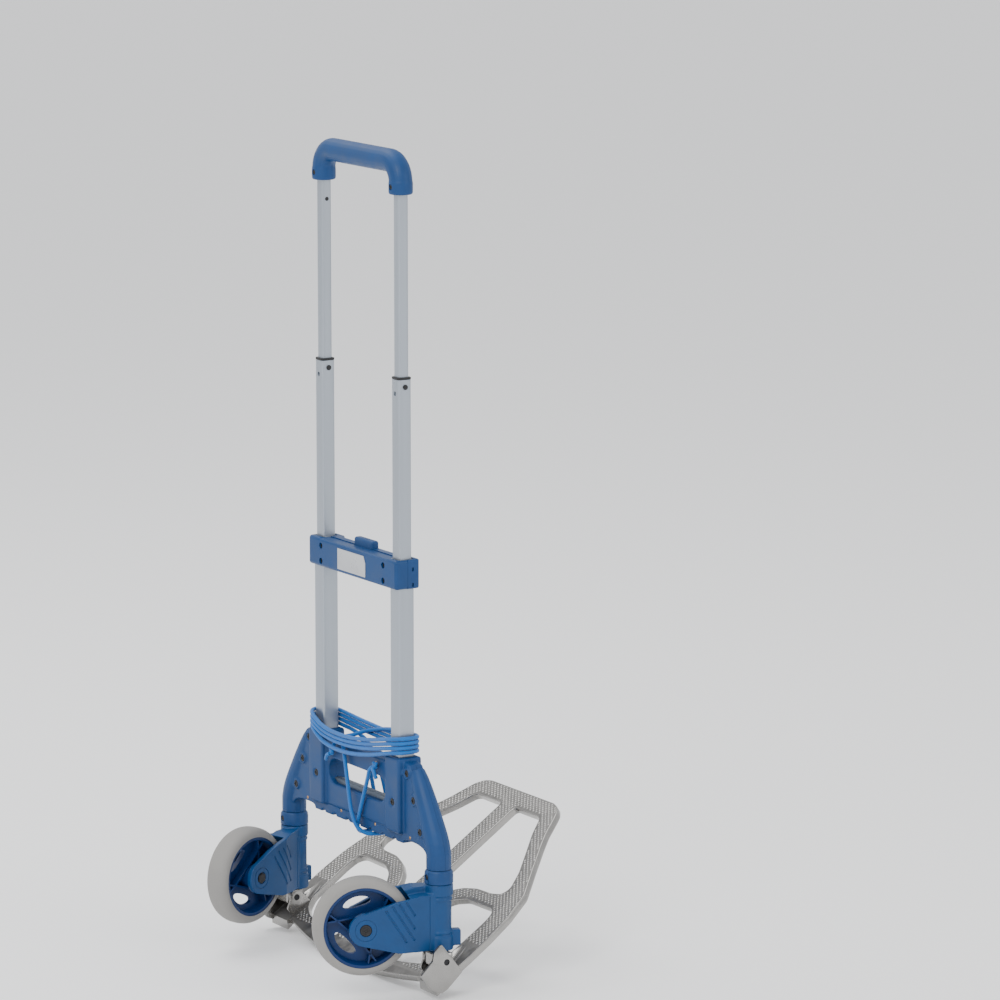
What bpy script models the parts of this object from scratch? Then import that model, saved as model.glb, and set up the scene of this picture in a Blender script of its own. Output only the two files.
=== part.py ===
"""Folding hand truck: telescopic handle, swing-in wheels and a fold-up toe plate.

Metres, +Z up, X across, +Y towards the toe plate, -Y towards the wheels. The origin is under
the middle of the frame, on the surface the truck stands on. It is shown extended, with the toe
plate partly folded up.
"""

import math

import bmesh
import bpy
from mathutils import Matrix, Vector

GAP = 0.0003  # between pieces that touch
FRAME_Y = -0.04660  # from the legs' axes to the middle of the outline

# Telescopic uprights
TUBE_X = 0.100  # half the spacing of the uprights
OUTER_TUBE = 0.024
MIDDLE_TUBE = 0.0195
INNER_TUBE = 0.0150
TUBE_WALL = 0.0018
OUTER_BOTTOM, OUTER_TOP = 0.200, 0.5655
MIDDLE_BOTTOM, MIDDLE_TOP = 0.490, 0.8035
INNER_BOTTOM, INNER_TOP = 0.745, 1.076
STAGE_COLLAR_HEIGHT = 0.0055

# Handle
HANDLE_TOP = 1.103
GRIP_RADIUS = 0.0155
GRIP_CORNER = 0.027
HANDLE_BOTTOM = 1.045

# Crossbar with the release button
CROSSBAR_LENGTH = 0.230
CROSSBAR_BOTTOM, CROSSBAR_TOP = 0.5275, 0.5665
CROSSBAR_HALF_DEPTH = 0.0185
CROSSBAR_END = 0.036
BUTTON_SIZE = (0.054, 0.0115, 0.020)
BUTTON_RISE = 0.0125
BUTTON_Y = 0.0045
LATCH_Z = 0.5440

# Base moulding
BASE_HALF_DEPTH = 0.0125
BOX_HALF_DEPTH = 0.018
BOX_WIDTH = 0.038
BASE_BOTTOM, BASE_TOP = 0.188, 0.2935
BOX_TOP = 0.303
SLOT_Z, SLOT_RADIUS, SLOT_HALF_LENGTH = 0.251, 0.0172, 0.0755
STRUT_BOTTOM, STRUT_TOP = 0.2165, 0.2400
SCREW_X, SCREW_Z, SCREW_SEAT_Y = 0.1645, 0.2130, -0.0125

# Legs
LEG_X = 0.192
LEG_RADIUS = 0.0168
COLLAR_RADIUS = 0.0190
COLLAR_BOTTOM, COLLAR_TOP = 0.1505, 0.1685
LEG_PIN_RADIUS = 0.0080
LEG_PIN_BOTTOM, LEG_PIN_TOP = 0.0570, 0.2000

# Wheel forks
FORK_SWING = math.radians(20)  # how far each fork stands inwards of straight back
FORK_BOTTOM, FORK_TOP = 0.0615, 0.1500
FORK_RADIUS = 0.0188
FORK_REACH = 0.102
FORK_END_RADIUS = 0.022
FORK_HALF_WIDTH = 0.0290
FORK_INNER_HALF_WIDTH = 0.0215
FORK_BOSS_HALF_WIDTH = 0.0305
BUSH_RADIUS = 0.0105

# Wheels
WHEEL_Z = 0.098
TYRE_RADIUS = 0.067
RIM_RADIUS = 0.0545
RIM_HALF_WIDTH = 0.0158
TYRE_HALF_WIDTH = 0.0172
HUB_RADIUS = 0.0155
BEARING_RADIUS = 0.0110
AXLE_RADIUS = 0.0050
WINDOWS = 3
WINDOW_RADIUS, WINDOW_HALF_LENGTH, WINDOW_HALF_WIDTH = 0.0335, 0.019, 0.007
WINDOW_TURN = {"right": math.radians(77), "left": math.radians(130)}

# Toe plate and its hinge
PIVOT_Y, PIVOT_Z = -0.006, 0.0503
PLATE_TILT = math.radians(34.5)
FOLD_UP = math.radians(45.5)  # from here to the folded position
PLATE_TOP, PLATE_BOTTOM = -0.018, -0.028
REAR_BULGE, KNUCKLE_REAR = -0.04843, -0.0250
CHEEK_OUTER_X, CHEEK_INNER_X = 0.222, 0.176
CHEEK_THICKNESS = 0.0042
HINGE_PIN_RADIUS = 0.0040

# Cord
CORD_RADIUS = 0.00275
CORD_TURNS = 4
CORD_PITCH = 0.0062
CORD_LOW_TURN = 0.3070
KNOT_RADIUS = 0.0052

BLUE = ("moulded_blue", (0.035, 0.125, 0.30), 0.45, 0.0)
FORK_BLUE = ("fork_blue", (0.012, 0.11, 0.32), 0.42, 0.0)
RIM_BLUE = ("rim_blue", (0.006, 0.07, 0.25), 0.40, 0.0)
GREY_TYRE = ("grey_tyre", (0.52, 0.51, 0.49), 0.65, 0.0)
ANODISED = ("anodised", (0.58, 0.62, 0.68), 0.38, 0.9)
CAST = ("cast_aluminium", (0.62, 0.61, 0.58), 0.35, 1.0)
STEEL = ("zinc_steel", (0.55, 0.55, 0.56), 0.32, 1.0)
BLACK = ("black_plastic", (0.02, 0.02, 0.02), 0.5, 0.0)
BLACK_STEEL = ("black_steel", (0.03, 0.03, 0.03), 0.4, 0.6)
PLATE_GREY = ("blank_plate", (0.72, 0.72, 0.72), 0.4, 0.3)
CORD_BLUE = ("cord_blue", (0.0, 0.21, 0.62), 0.55, 0.0)


def material(finish):
    """The material of this finish, made once."""
    name, colour, roughness, metallic = finish
    found = bpy.data.materials.get(name)
    if found:
        return found
    made = bpy.data.materials.new(name)
    made.use_nodes = True
    shader = made.node_tree.nodes["Principled BSDF"]
    shader.inputs["Base Color"].default_value = (*colour, 1.0)
    shader.inputs["Roughness"].default_value = roughness
    shader.inputs["Metallic"].default_value = metallic
    return made


def new_object(name, bm, finish=None, smooth=35):
    """An object from a bmesh. Without a finish it is a helper that only shapes others."""
    bmesh.ops.recalc_face_normals(bm, faces=bm.faces)
    mesh = bpy.data.meshes.new(name)
    bm.to_mesh(mesh)
    bm.free()
    obj = bpy.data.objects.new(name, mesh)
    bpy.context.scene.collection.objects.link(obj)
    mesh.shade_smooth()
    mesh.set_sharp_from_angle(angle=math.radians(smooth))
    if finish:
        own = material(finish).copy()
        own.name = f"{name}_{finish[0]}"
        mesh.materials.append(own)
    else:
        obj.hide_render = True
        obj.display_type = "WIRE"
    return obj


def boolean(target, others, operation="DIFFERENCE"):
    """Cuts the others from the target, or joins them to it."""
    for other in others:
        modifier = target.modifiers.new(f"{operation.lower()}_{other.name}", "BOOLEAN")
        modifier.operation = operation
        modifier.object = other
    return target


def bevel(obj, width, segments=2, angle=40):
    """Rounds the sharp edges that the object has so far."""
    modifier = obj.modifiers.new("rounded_edges", "BEVEL")
    modifier.width = width
    modifier.segments = segments
    modifier.limit_method = "ANGLE"
    modifier.angle_limit = math.radians(angle)
    return obj


def box(name, low, high, finish=None):
    """A box between two corners."""
    bm = bmesh.new()
    bmesh.ops.create_cube(bm, size=1)
    size = Vector(high) - Vector(low)
    middle = (Vector(high) + Vector(low)) / 2
    bmesh.ops.scale(bm, vec=size, verts=bm.verts)
    bmesh.ops.translate(bm, vec=middle, verts=bm.verts)
    return new_object(name, bm, finish)


def prism(name, outline, low, high, place, finish=None):
    """A closed outline extruded from low to high. place(u, v, w) says where a point goes."""
    bm = bmesh.new()
    face = bm.faces.new([bm.verts.new(place(u, v, low)) for u, v in outline])
    extruded = bmesh.ops.extrude_face_region(bm, geom=[face])
    moved = [item for item in extruded["geom"] if isinstance(item, bmesh.types.BMVert)]
    bmesh.ops.translate(bm, vec=Vector(place(0, 0, high)) - Vector(place(0, 0, low)), verts=moved)
    return new_object(name, bm, finish)


def turned(name, profile, sides, start, direction, finish=None):
    """A closed profile of (radius, distance along the axis) points spun round an axis.

    Where the profile touches the axis, its first and last points lie on it.
    """
    axis = Vector(direction).normalized()
    out = axis.orthogonal().normalized()
    bm = bmesh.new()
    verts = [bm.verts.new(Vector(start) + axis * along + out * radius) for radius, along in profile]
    edges = [bm.edges.new(pair) for pair in zip(verts, verts[1:])]
    if profile[0][0] > 0:
        edges.append(bm.edges.new((verts[-1], verts[0])))
    bmesh.ops.spin(
        bm, geom=verts + edges, cent=start, axis=axis, angle=math.tau, steps=sides, use_merge=True
    )
    bmesh.ops.remove_doubles(bm, verts=bm.verts, dist=0.00001)
    poles = [v for v in bm.verts if (v.co - Vector(start)).cross(axis).length < 0.000001]
    bmesh.ops.dissolve_verts(bm, verts=poles)
    return new_object(name, bm, finish)


def rod(name, start, end, radius, finish=None, sides=12):
    """A plain round bar."""
    length = (Vector(end) - Vector(start)).length
    profile = [(0, 0), (radius, 0), (radius, length), (0, length)]
    return turned(name, profile, sides, start, Vector(end) - Vector(start), finish)


def ring(name, start, direction, inner, outer, length, finish=None, sides=24):
    """A plain sleeve."""
    profile = [(inner, 0), (outer, 0), (outer, length), (inner, length)]
    return turned(name, profile, sides, start, direction, finish)


def swept(name, points, radii, sides, finish=None):
    """A round bar along points in a plane of constant y, with its own radius at each point."""
    bm = bmesh.new()
    rings = []
    for i, (point, radius) in enumerate(zip(points, radii)):
        before, after = points[max(i - 1, 0)], points[min(i + 1, len(points) - 1)]
        along = (Vector(after) - Vector(before)).normalized()
        side = Vector((0, 1, 0))
        other = along.cross(side)
        turn = [math.tau * k / sides for k in range(sides)]
        rings.append(
            [
                bm.verts.new(Vector(point) + (side * math.cos(a) + other * math.sin(a)) * radius)
                for a in turn
            ]
        )
    for low, high in zip(rings, rings[1:]):
        for k in range(sides):
            bm.faces.new((low[k], low[k - 1], high[k - 1], high[k]))
    bm.faces.new(rings[0])
    bm.faces.new(rings[-1])
    return new_object(name, bm, finish)


def arc(centre, radius, start, end, steps):
    """Points of an arc, angles in degrees."""
    angles = [math.radians(start + (end - start) * k / steps) for k in range(steps + 1)]
    return [(centre[0] + radius * math.cos(a), centre[1] + radius * math.sin(a)) for a in angles]


def rounded_square(half, corner, steps=3):
    """The outline of a square tube."""
    inner = half - corner
    outline = []
    for quarter, (x, y) in enumerate(((1, 1), (-1, 1), (-1, -1), (1, -1))):
        outline += arc((x * inner, y * inner), corner, 90 * quarter, 90 * quarter + 90, steps)
    return outline


def upright(name, x, half, low, high, finish=None, corner=0.0035):
    """A solid square bar with round edges, standing on z = low."""
    return prism(
        name, rounded_square(half, corner), low, high, lambda u, v, w: (x + u, v, w), finish
    )


def square_tube(name, x, size, low, high):
    """An aluminium tube with an open bore."""
    tube = upright(name, x, size / 2, low, high, ANODISED)
    bore = upright(f"{name}_bore", x, size / 2 - TUBE_WALL, low - 0.01, high + 0.01, corner=0.002)
    return boolean(tube, [bore])


def uprights(side, x):
    """One telescopic upright: three tubes, the black collar and its stud."""
    square_tube(f"outer_tube_{side}", x, OUTER_TUBE, OUTER_BOTTOM, OUTER_TOP)
    square_tube(f"middle_tube_{side}", x, MIDDLE_TUBE, MIDDLE_BOTTOM, MIDDLE_TOP)
    square_tube(f"inner_tube_{side}", x, INNER_TUBE, INNER_BOTTOM, INNER_TOP)
    collar = upright(
        f"stage_collar_{side}",
        x,
        MIDDLE_TUBE / 2 + 0.0010,
        MIDDLE_TOP + GAP,
        MIDDLE_TOP + STAGE_COLLAR_HEIGHT,
        BLACK,
    )
    bore = upright(
        f"stage_collar_{side}_bore", x, INNER_TUBE / 2 + GAP, MIDDLE_TOP - 0.01, MIDDLE_TOP + 0.02
    )
    boolean(collar, [bore])
    face = x + MIDDLE_TUBE / 2
    stud_z = MIDDLE_TOP - 0.0095
    rod(f"collar_stud_{side}", (face + GAP, 0, stud_z), (face + 0.0016, 0, stud_z), 0.0035, BLACK)


def handle():
    """The round grip with its two sockets, and the two screws that hold it."""
    corner_z = HANDLE_TOP - GRIP_RADIUS - GRIP_CORNER
    bend = arc((TUBE_X - GRIP_CORNER, corner_z), GRIP_CORNER, 0, 90, 6)
    half = [(TUBE_X, HANDLE_BOTTOM), (TUBE_X, HANDLE_BOTTOM + 0.012)] + bend
    path = half + [(-x, z) for x, z in reversed(half)]
    radii = [GRIP_RADIUS * 1.03 if z < corner_z else GRIP_RADIUS for x, z in path]
    grip = swept("handle_grip", [(x, 0, z) for x, z in path], radii, 14, BLUE)
    for side, x in SIDES:
        socket = upright(
            f"socket_{side}", x, INNER_TUBE / 2 + GAP, HANDLE_BOTTOM - 0.01, INNER_TOP + GAP
        )
        z = HANDLE_BOTTOM + 0.010
        hole = rod(f"handle_screw_hole_{side}", (x, -0.03, z), (x, -0.0122, z), 0.0042)
        boolean(grip, [socket, hole])
        rod(f"handle_screw_{side}", (x, -0.0148, z), (x, -0.0122 - GAP, z), 0.0038, BLACK_STEEL)


def crossbar():
    """The two shells, clamped round the outer tubes by screws, with the release inside."""
    length = CROSSBAR_LENGTH / 2
    depth = CROSSBAR_HALF_DEPTH
    end = length - CROSSBAR_END
    bottom, top = CROSSBAR_BOTTOM, CROSSBAR_TOP
    rear = box(
        "crossbar_rear_shell", (-length, -depth, bottom), (length, -GAP / 2, top), BLUE
    )
    plan = [(-length, GAP / 2), (length, GAP / 2), (length, depth), (end, depth), (end - 0.006, 0.012)]
    plan += [(-end + 0.006, 0.012), (-end, depth), (-length, depth)]
    front = prism(
        "crossbar_front_shell", plan, bottom, top, lambda u, v, w: (u, v, w), BLUE
    )
    pocket_x = BUTTON_SIZE[0] / 2 + GAP
    pocket = box(
        "button_pocket",
        (-pocket_x, BUTTON_Y - BUTTON_SIZE[1] / 2 - GAP, bottom + 0.006),
        (pocket_x, BUTTON_Y + BUTTON_SIZE[1] / 2 + GAP, top + 0.01),
    )
    channel = box("latch_channel", (-0.089, -0.0038, 0.5405), (0.089, 0.0038, 0.5475))
    for shell in (rear, front):
        bevel(shell, 0.0045, 3, 50)
        for side, x in SIDES:
            name = f"{shell.name}_{side}_bore"
            bore = upright(name, x, OUTER_TUBE / 2 + GAP, bottom - 0.01, top + 0.01, corner=0.0036)
            boolean(shell, [bore])
        boolean(shell, [pocket, channel])
    for side, x in SIDES:
        for level, z in (("upper", bottom + 0.0285), ("lower", bottom + 0.0080)):
            screw_x = math.copysign(0.082, x)
            hole = rod(
                f"crossbar_{level}_hole_{side}", (screw_x, -0.03, z), (screw_x, -0.0138, z), 0.0043
            )
            boolean(rear, [hole])
            rod(
                f"crossbar_screw_{level}_{side}",
                (screw_x, -0.0168, z),
                (screw_x, -0.0138 - GAP, z),
                0.0039,
                BLACK_STEEL,
            )
    plate_y = -depth - 0.0007
    outline = [(-0.037, 0.532), (0.037, 0.532), (0.037, 0.551), (0.032, 0.5605), (-0.037, 0.5605)]
    prism("data_plate", outline, -depth - GAP / 2, plate_y, lambda u, v, w: (u, w, v), PLATE_GREY)
    release()


def release():
    """The sprung button and the two latch rods that it draws out of the tubes."""
    width, depth, height = BUTTON_SIZE
    top = CROSSBAR_TOP + BUTTON_RISE
    button = box(
        "release_button",
        (-width / 2, BUTTON_Y - depth / 2, top - height),
        (width / 2, BUTTON_Y + depth / 2, top),
        BLUE,
    )
    bevel(button, 0.0022, 3)
    spring_low, spring_high = CROSSBAR_BOTTOM + 0.0065, top - height - GAP
    helix("button_spring", (0, BUTTON_Y, 0), spring_low, spring_high)
    for side, x in SIDES:
        tip = x - math.copysign(OUTER_TUBE / 2 - 0.0008, x)
        rod(f"latch_rod_{side}", (math.copysign(0.034, x), 0, LATCH_Z), (tip, 0, LATCH_Z), 0.0030, STEEL, 12)
        hole = rod(
            f"latch_hole_{side}", (math.copysign(0.080, x), 0, LATCH_Z), (x, 0, LATCH_Z), 0.0034
        )
        boolean(bpy.data.objects[f"outer_tube_{side}"], [hole])


def helix(name, centre, low, high):
    """A compression spring of four turns."""
    wire, radius, turns, steps = 0.0005, 0.0032, 4, 10
    curve = bpy.data.curves.new(name, "CURVE")
    curve.dimensions = "3D"
    curve.bevel_depth = wire
    curve.bevel_resolution = 0
    curve.use_fill_caps = True
    count = turns * steps + 1
    spline = curve.splines.new("POLY")
    spline.points.add(count - 1)
    for k, point in enumerate(spline.points):
        angle = math.tau * k / steps
        z = low + wire + (high - low - 2 * wire) * k / (count - 1)
        point.co = (
            centre[0] + radius * math.cos(angle),
            centre[1] + radius * math.sin(angle),
            z,
            1,
        )
    obj = bpy.data.objects.new(name, curve)
    bpy.context.scene.collection.objects.link(obj)
    own = material(STEEL).copy()
    own.name = f"{name}_steel"
    curve.materials.append(own)
    return obj


def from_front(u, v, w):
    """Outlines drawn as seen from the wheel side."""
    return (u, w, v)


def base_outline():
    """The moulding's outline from the front, without the raised tube boxes."""
    right = [
        (0.118, BASE_TOP + 0.008),
        (0.134, 0.296),
        (0.147, 0.279),
        (0.161, 0.258),
        (0.178, 0.228),
        (0.191, 0.205),
        (0.196, 0.196),
        (0.172, 0.190),
        (0.155, 0.181),
        (0.133, 0.1865),
        (0.106, BASE_BOTTOM),
    ]
    scallops = []
    for x in (0.098, 0.033, -0.033, -0.098):
        scallops += [(x - 0.002, BASE_BOTTOM), (x - 0.006, BASE_BOTTOM + 0.003)]
        scallops += [(x - 0.014, BASE_BOTTOM + 0.003), (x - 0.018, BASE_BOTTOM)]
    mirrored = [(-x, z) for x, z in reversed(right)]
    dip = [(-0.080, BASE_TOP + 0.004), (-0.070, BASE_TOP), (0.070, BASE_TOP), (0.080, BASE_TOP + 0.004)]
    return right + scallops + mirrored + dip


def base():
    """The moulding that joins the uprights to the legs, as a rear and a front shell."""
    solid = prism("base_solid", base_outline(), -BASE_HALF_DEPTH, BASE_HALF_DEPTH, from_front)
    bevel(solid, 0.002, 1, 50)
    for side, x in SIDES:
        half = BOX_WIDTH / 2
        tube_box = box(
            f"tube_box_{side}",
            (x + math.copysign(0.001, x) - half, -BOX_HALF_DEPTH, BASE_BOTTOM + 0.013),
            (x + math.copysign(0.001, x) + half, BOX_HALF_DEPTH, BOX_TOP),
        )
        bevel(tube_box, 0.004, 3)
        outward = math.copysign(1, x)
        spine = [(LEG_X, COLLAR_TOP + GAP), (LEG_X, 0.188), (0.1875, 0.203), (0.1755, 0.226)]
        spine += [(0.163, 0.247), (0.152, 0.266), (0.143, 0.283)]
        radii = [LEG_RADIUS, LEG_RADIUS, LEG_RADIUS, 0.0160, 0.0150, 0.0137, 0.0124]
        leg = swept(f"leg_{side}", [(outward * u, 0, v) for u, v in spine], radii, 16)
        boolean(solid, [tube_box, leg], "UNION")
    slot = arc((SLOT_HALF_LENGTH - SLOT_RADIUS, SLOT_Z), SLOT_RADIUS, -90, 90, 8)
    slot += arc((SLOT_RADIUS - SLOT_HALF_LENGTH, SLOT_Z), SLOT_RADIUS, 90, 270, 8)
    hand_slot = prism("hand_slot", slot, -0.03, 0.03, from_front)
    strut_room = box(
        "strut_room",
        (-0.087 - GAP, -0.0050 - GAP, STRUT_BOTTOM - GAP),
        (0.087 + GAP, 0.0050 + GAP, STRUT_TOP + GAP),
    )
    cutters = [hand_slot, strut_room]
    for side, x in SIDES:
        leg_x = math.copysign(LEG_X, x)
        cutters.append(
            upright(f"tube_room_{side}", x, OUTER_TUBE / 2 + GAP, OUTER_BOTTOM - GAP, 0.4)
        )
        cutters.append(
            rod(f"pin_room_{side}", (leg_x, 0, 0.1), (leg_x, 0, LEG_PIN_TOP + GAP), LEG_PIN_RADIUS + GAP)
        )
    boolean(solid, cutters)
    rear_half = box("rear_half", (-0.4, -GAP / 2, 0), (0.4, 0.1, 0.5))
    front_half = box("front_half", (-0.4, -0.1, 0), (0.4, GAP / 2, 0.5))
    rear = shell_of("base_rear_shell", solid, rear_half)
    shell_of("base_front_shell", solid, front_half)
    for side, sign in (("left", -1), ("right", 1)):
        x, z = sign * SCREW_X, SCREW_Z
        hole = rod(f"base_hole_{side}", (x, -0.03, z), (x, SCREW_SEAT_Y, z), 0.0055)
        boolean(rear, [hole])
        head = SCREW_SEAT_Y - 0.0030
        rod(f"base_screw_{side}", (x, head, z), (x, SCREW_SEAT_Y - GAP, z), 0.0050, BLACK_STEEL)
    strut = box("cross_strut", (-0.087, -0.0050, STRUT_BOTTOM), (0.087, 0.0050, STRUT_TOP), ANODISED)
    bevel(strut, 0.001, 1)


def shell_of(name, solid, half):
    """One shell: a copy of the whole moulding, less the other half."""
    bm = bmesh.new()
    graph = bpy.context.evaluated_depsgraph_get()
    bm.from_object(solid, graph)
    shell = new_object(name, bm, BLUE)
    return boolean(shell, [half])


def leg(side, x):
    """The steel pin, its clamp collar and the hinge foot at the bottom of one leg."""
    rod(f"leg_pin_{side}", (x, 0, LEG_PIN_BOTTOM), (x, 0, LEG_PIN_TOP), LEG_PIN_RADIUS, STEEL, 20)
    height = COLLAR_TOP - COLLAR_BOTTOM
    inner = LEG_PIN_RADIUS + GAP
    profile = [
        (inner, 0.0),
        (COLLAR_RADIUS - 0.001, 0.0),
        (COLLAR_RADIUS, 0.001),
        (COLLAR_RADIUS, height - 0.002),
        (COLLAR_RADIUS - 0.0015, height),
        (inner, height),
    ]
    collar = turned(f"leg_collar_{side}", profile, 24, (x, 0, COLLAR_BOTTOM), (0, 0, 1), BLUE)
    z = (COLLAR_BOTTOM + COLLAR_TOP) / 2
    boolean(collar, [rod(f"collar_hole_{side}", (x, -0.03, z), (x, -0.0155, z), 0.0040)])
    rod(f"collar_screw_{side}", (x, -0.0180, z), (x, -0.0155 - GAP, z), 0.0036, BLACK_STEEL)
    sign = math.copysign(1, x)
    cheek_gap = CHEEK_INNER_X + CHEEK_THICKNESS + 0.0033
    outer_gap = CHEEK_OUTER_X - CHEEK_THICKNESS - 0.0033
    low, high = sorted((sign * cheek_gap, sign * outer_gap))
    foot = box(
        f"hinge_foot_{side}",
        (low, -0.0165, PIVOT_Z - 0.0095),
        (high, 0.0085, FORK_BOTTOM - 0.0008),
        CAST,
    )
    bevel(foot, 0.003, 2)
    pin_room = rod(
        f"foot_pin_room_{side}", (x, 0, LEG_PIN_BOTTOM - GAP), (x, 0, 0.1), LEG_PIN_RADIUS + GAP
    )
    axis_room = rod(
        f"foot_axis_room_{side}",
        (sign * 0.17, PIVOT_Y, PIVOT_Z),
        (sign * 0.23, PIVOT_Y, PIVOT_Z),
        HINGE_PIN_RADIUS + GAP,
    )
    boolean(foot, [pin_room, axis_room])
    rod(
        f"hinge_pin_{side}",
        (sign * (CHEEK_INNER_X + 0.0006), PIVOT_Y, PIVOT_Z),
        (sign * (CHEEK_OUTER_X - 0.0012), PIVOT_Y, PIVOT_Z),
        HINGE_PIN_RADIUS,
        BLACK_STEEL,
        20,
    )


def fold_link(side, x):
    """The flat cam beside the hinge foot, which turns the fork as the toe plate folds."""
    sign = math.copysign(1, x)
    start = sign * (CHEEK_INNER_X + CHEEK_THICKNESS + 0.0005)
    end = sign * (CHEEK_INNER_X + CHEEK_THICKNESS + 0.0028)
    outline = arc((PIVOT_Y, PIVOT_Z), 0.0100, 40, 320, 14)
    link = prism(f"fold_link_{side}", outline, start, end, lambda u, v, w: (w, u, v), STEEL)
    room = rod(
        f"fold_link_room_{side}",
        (sign * 0.17, PIVOT_Y, PIVOT_Z),
        (sign * 0.23, PIVOT_Y, PIVOT_Z),
        HINGE_PIN_RADIUS + GAP,
    )
    boolean(link, [room])


def arm_frame(x):
    """Directions along the fork's arm and across its wheel."""
    sign = math.copysign(1, x)
    along = Vector((-sign * math.sin(FORK_SWING), -math.cos(FORK_SWING), 0))
    across = Vector((sign * math.cos(FORK_SWING), -math.sin(FORK_SWING), 0))
    return along, across


def fork(side, x):
    """A wheel fork: a sleeve round the leg pin and two teardrop plates."""
    along, across = arm_frame(x)
    leg_axis = Vector((x, 0, 0))

    def place(u, v, w):
        return leg_axis + along * u + across * w + Vector((0, 0, v))

    ends = arc((FORK_REACH, WHEEL_Z), FORK_END_RADIUS, -78, 62, 12)
    outline = [(-0.0055, FORK_BOTTOM + 0.002), (0.060, FORK_BOTTOM + 0.003)] + ends
    outline += [(0.088, 0.1285), (0.062, 0.1390), (0.035, 0.1460), (-0.0055, 0.1485)]
    body = prism(f"fork_{side}", outline, -FORK_HALF_WIDTH, FORK_HALF_WIDTH, place, FORK_BLUE)
    wheel_room = arc((FORK_REACH, WHEEL_Z), TYRE_RADIUS + 0.0035, 100, 260, 16)
    wheel_room += [(0.16, WHEEL_Z - 0.08), (0.16, WHEEL_Z + 0.08)]
    room = prism(
        f"wheel_room_{side}", wheel_room, -FORK_INNER_HALF_WIDTH, FORK_INNER_HALF_WIDTH, place
    )
    height = FORK_TOP - FORK_BOTTOM
    sleeve_profile = [(0, 0), (FORK_RADIUS, 0)]
    for z in (0.018, 0.022, height - 0.022, height - 0.018):
        groove = FORK_RADIUS - (0.0 if z in (0.018, height - 0.018) else 0.0008)
        sleeve_profile.append((groove, z))
    sleeve_profile += [(FORK_RADIUS, height), (0, height)]
    sleeve = turned(f"sleeve_{side}", sleeve_profile, 24, (x, 0, FORK_BOTTOM), (0, 0, 1))
    side_room = [
        prism(f"taper_{side}_{k}", taper_outline(k), FORK_BOTTOM - 0.02, FORK_TOP + 0.02,
              lambda u, v, w: leg_axis + along * u + across * v + Vector((0, 0, w)))
        for k in (-1, 1)
    ]
    lug = box_at(f"lug_{side}", leg_axis - along * 0.0185, along, across, (0.010, 0.014), (0.0660, 0.0875))
    outer_edge = [(-0.02, 0.1400), (0.030, 0.1380), (0.062, 0.1325), (0.082, 0.1262), (0.100, 0.1203)]
    outer_edge += [(0.14, 0.1203), (0.14, 0.17), (-0.02, 0.17)]
    side_room.append(prism(f"outer_edge_{side}", outer_edge, 0.004, 0.05, place))
    boolean(body, side_room)
    boolean(body, [sleeve, lug], "UNION")
    boolean(body, [room])
    bore = rod(
        f"fork_bore_{side}", (x, 0, 0.03), (x, 0, 0.19), BUSH_RADIUS + GAP, sides=24
    )
    axle = leg_axis + along * FORK_REACH + Vector((0, 0, WHEEL_Z))
    hole = rod(f"axle_hole_{side}", axle - across * 0.05, axle + across * 0.05, AXLE_RADIUS + GAP)
    boolean(body, [bore, hole])
    for k in (-1, 1):
        seat_start = axle + across * k * (FORK_HALF_WIDTH - 0.0015)
        seat = rod(f"axle_seat_{side}_{k}", seat_start, axle + across * k * 0.05, 0.0082, sides=20)
        boolean(body, [seat])
    ring(
        f"fork_bush_{side}",
        (x, 0, FORK_BOTTOM + 0.001),
        (0, 0, 1),
        LEG_PIN_RADIUS + GAP,
        BUSH_RADIUS,
        FORK_TOP - FORK_BOTTOM - 0.002,
        BLACK,
        20,
    )


def taper_outline(k):
    """What is cut from one side of a fork, so that it narrows from the wheel to the sleeve."""
    outer = [(-0.03, k * 0.05), (0.052, k * 0.05)]
    return outer + [(0.052, k * 0.0295), (0.004, k * 0.0145), (-0.03, k * 0.0145)]


def box_at(name, centre, along, across, size, heights):
    """A box turned with a fork's arm."""
    outline = [(-size[0], -size[1] / 2), (size[0] / 3, -size[1] / 2)]
    outline += [(size[0] / 3, size[1] / 2), (-size[0], size[1] / 2)]
    return prism(
        name,
        outline,
        heights[0],
        heights[1],
        lambda u, v, w: centre + along * u + across * v + Vector((0, 0, w)),
    )


def window_outline():
    """An oval opening in a rim, its long side bowed round the axle."""
    outline = []
    for k in range(14):
        angle = math.tau * k / 14
        u = WINDOW_HALF_LENGTH * math.cos(angle)
        v = WINDOW_RADIUS + WINDOW_HALF_WIDTH * math.sin(angle) - 6 * u * u
        outline.append((u, v))
    return outline


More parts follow.
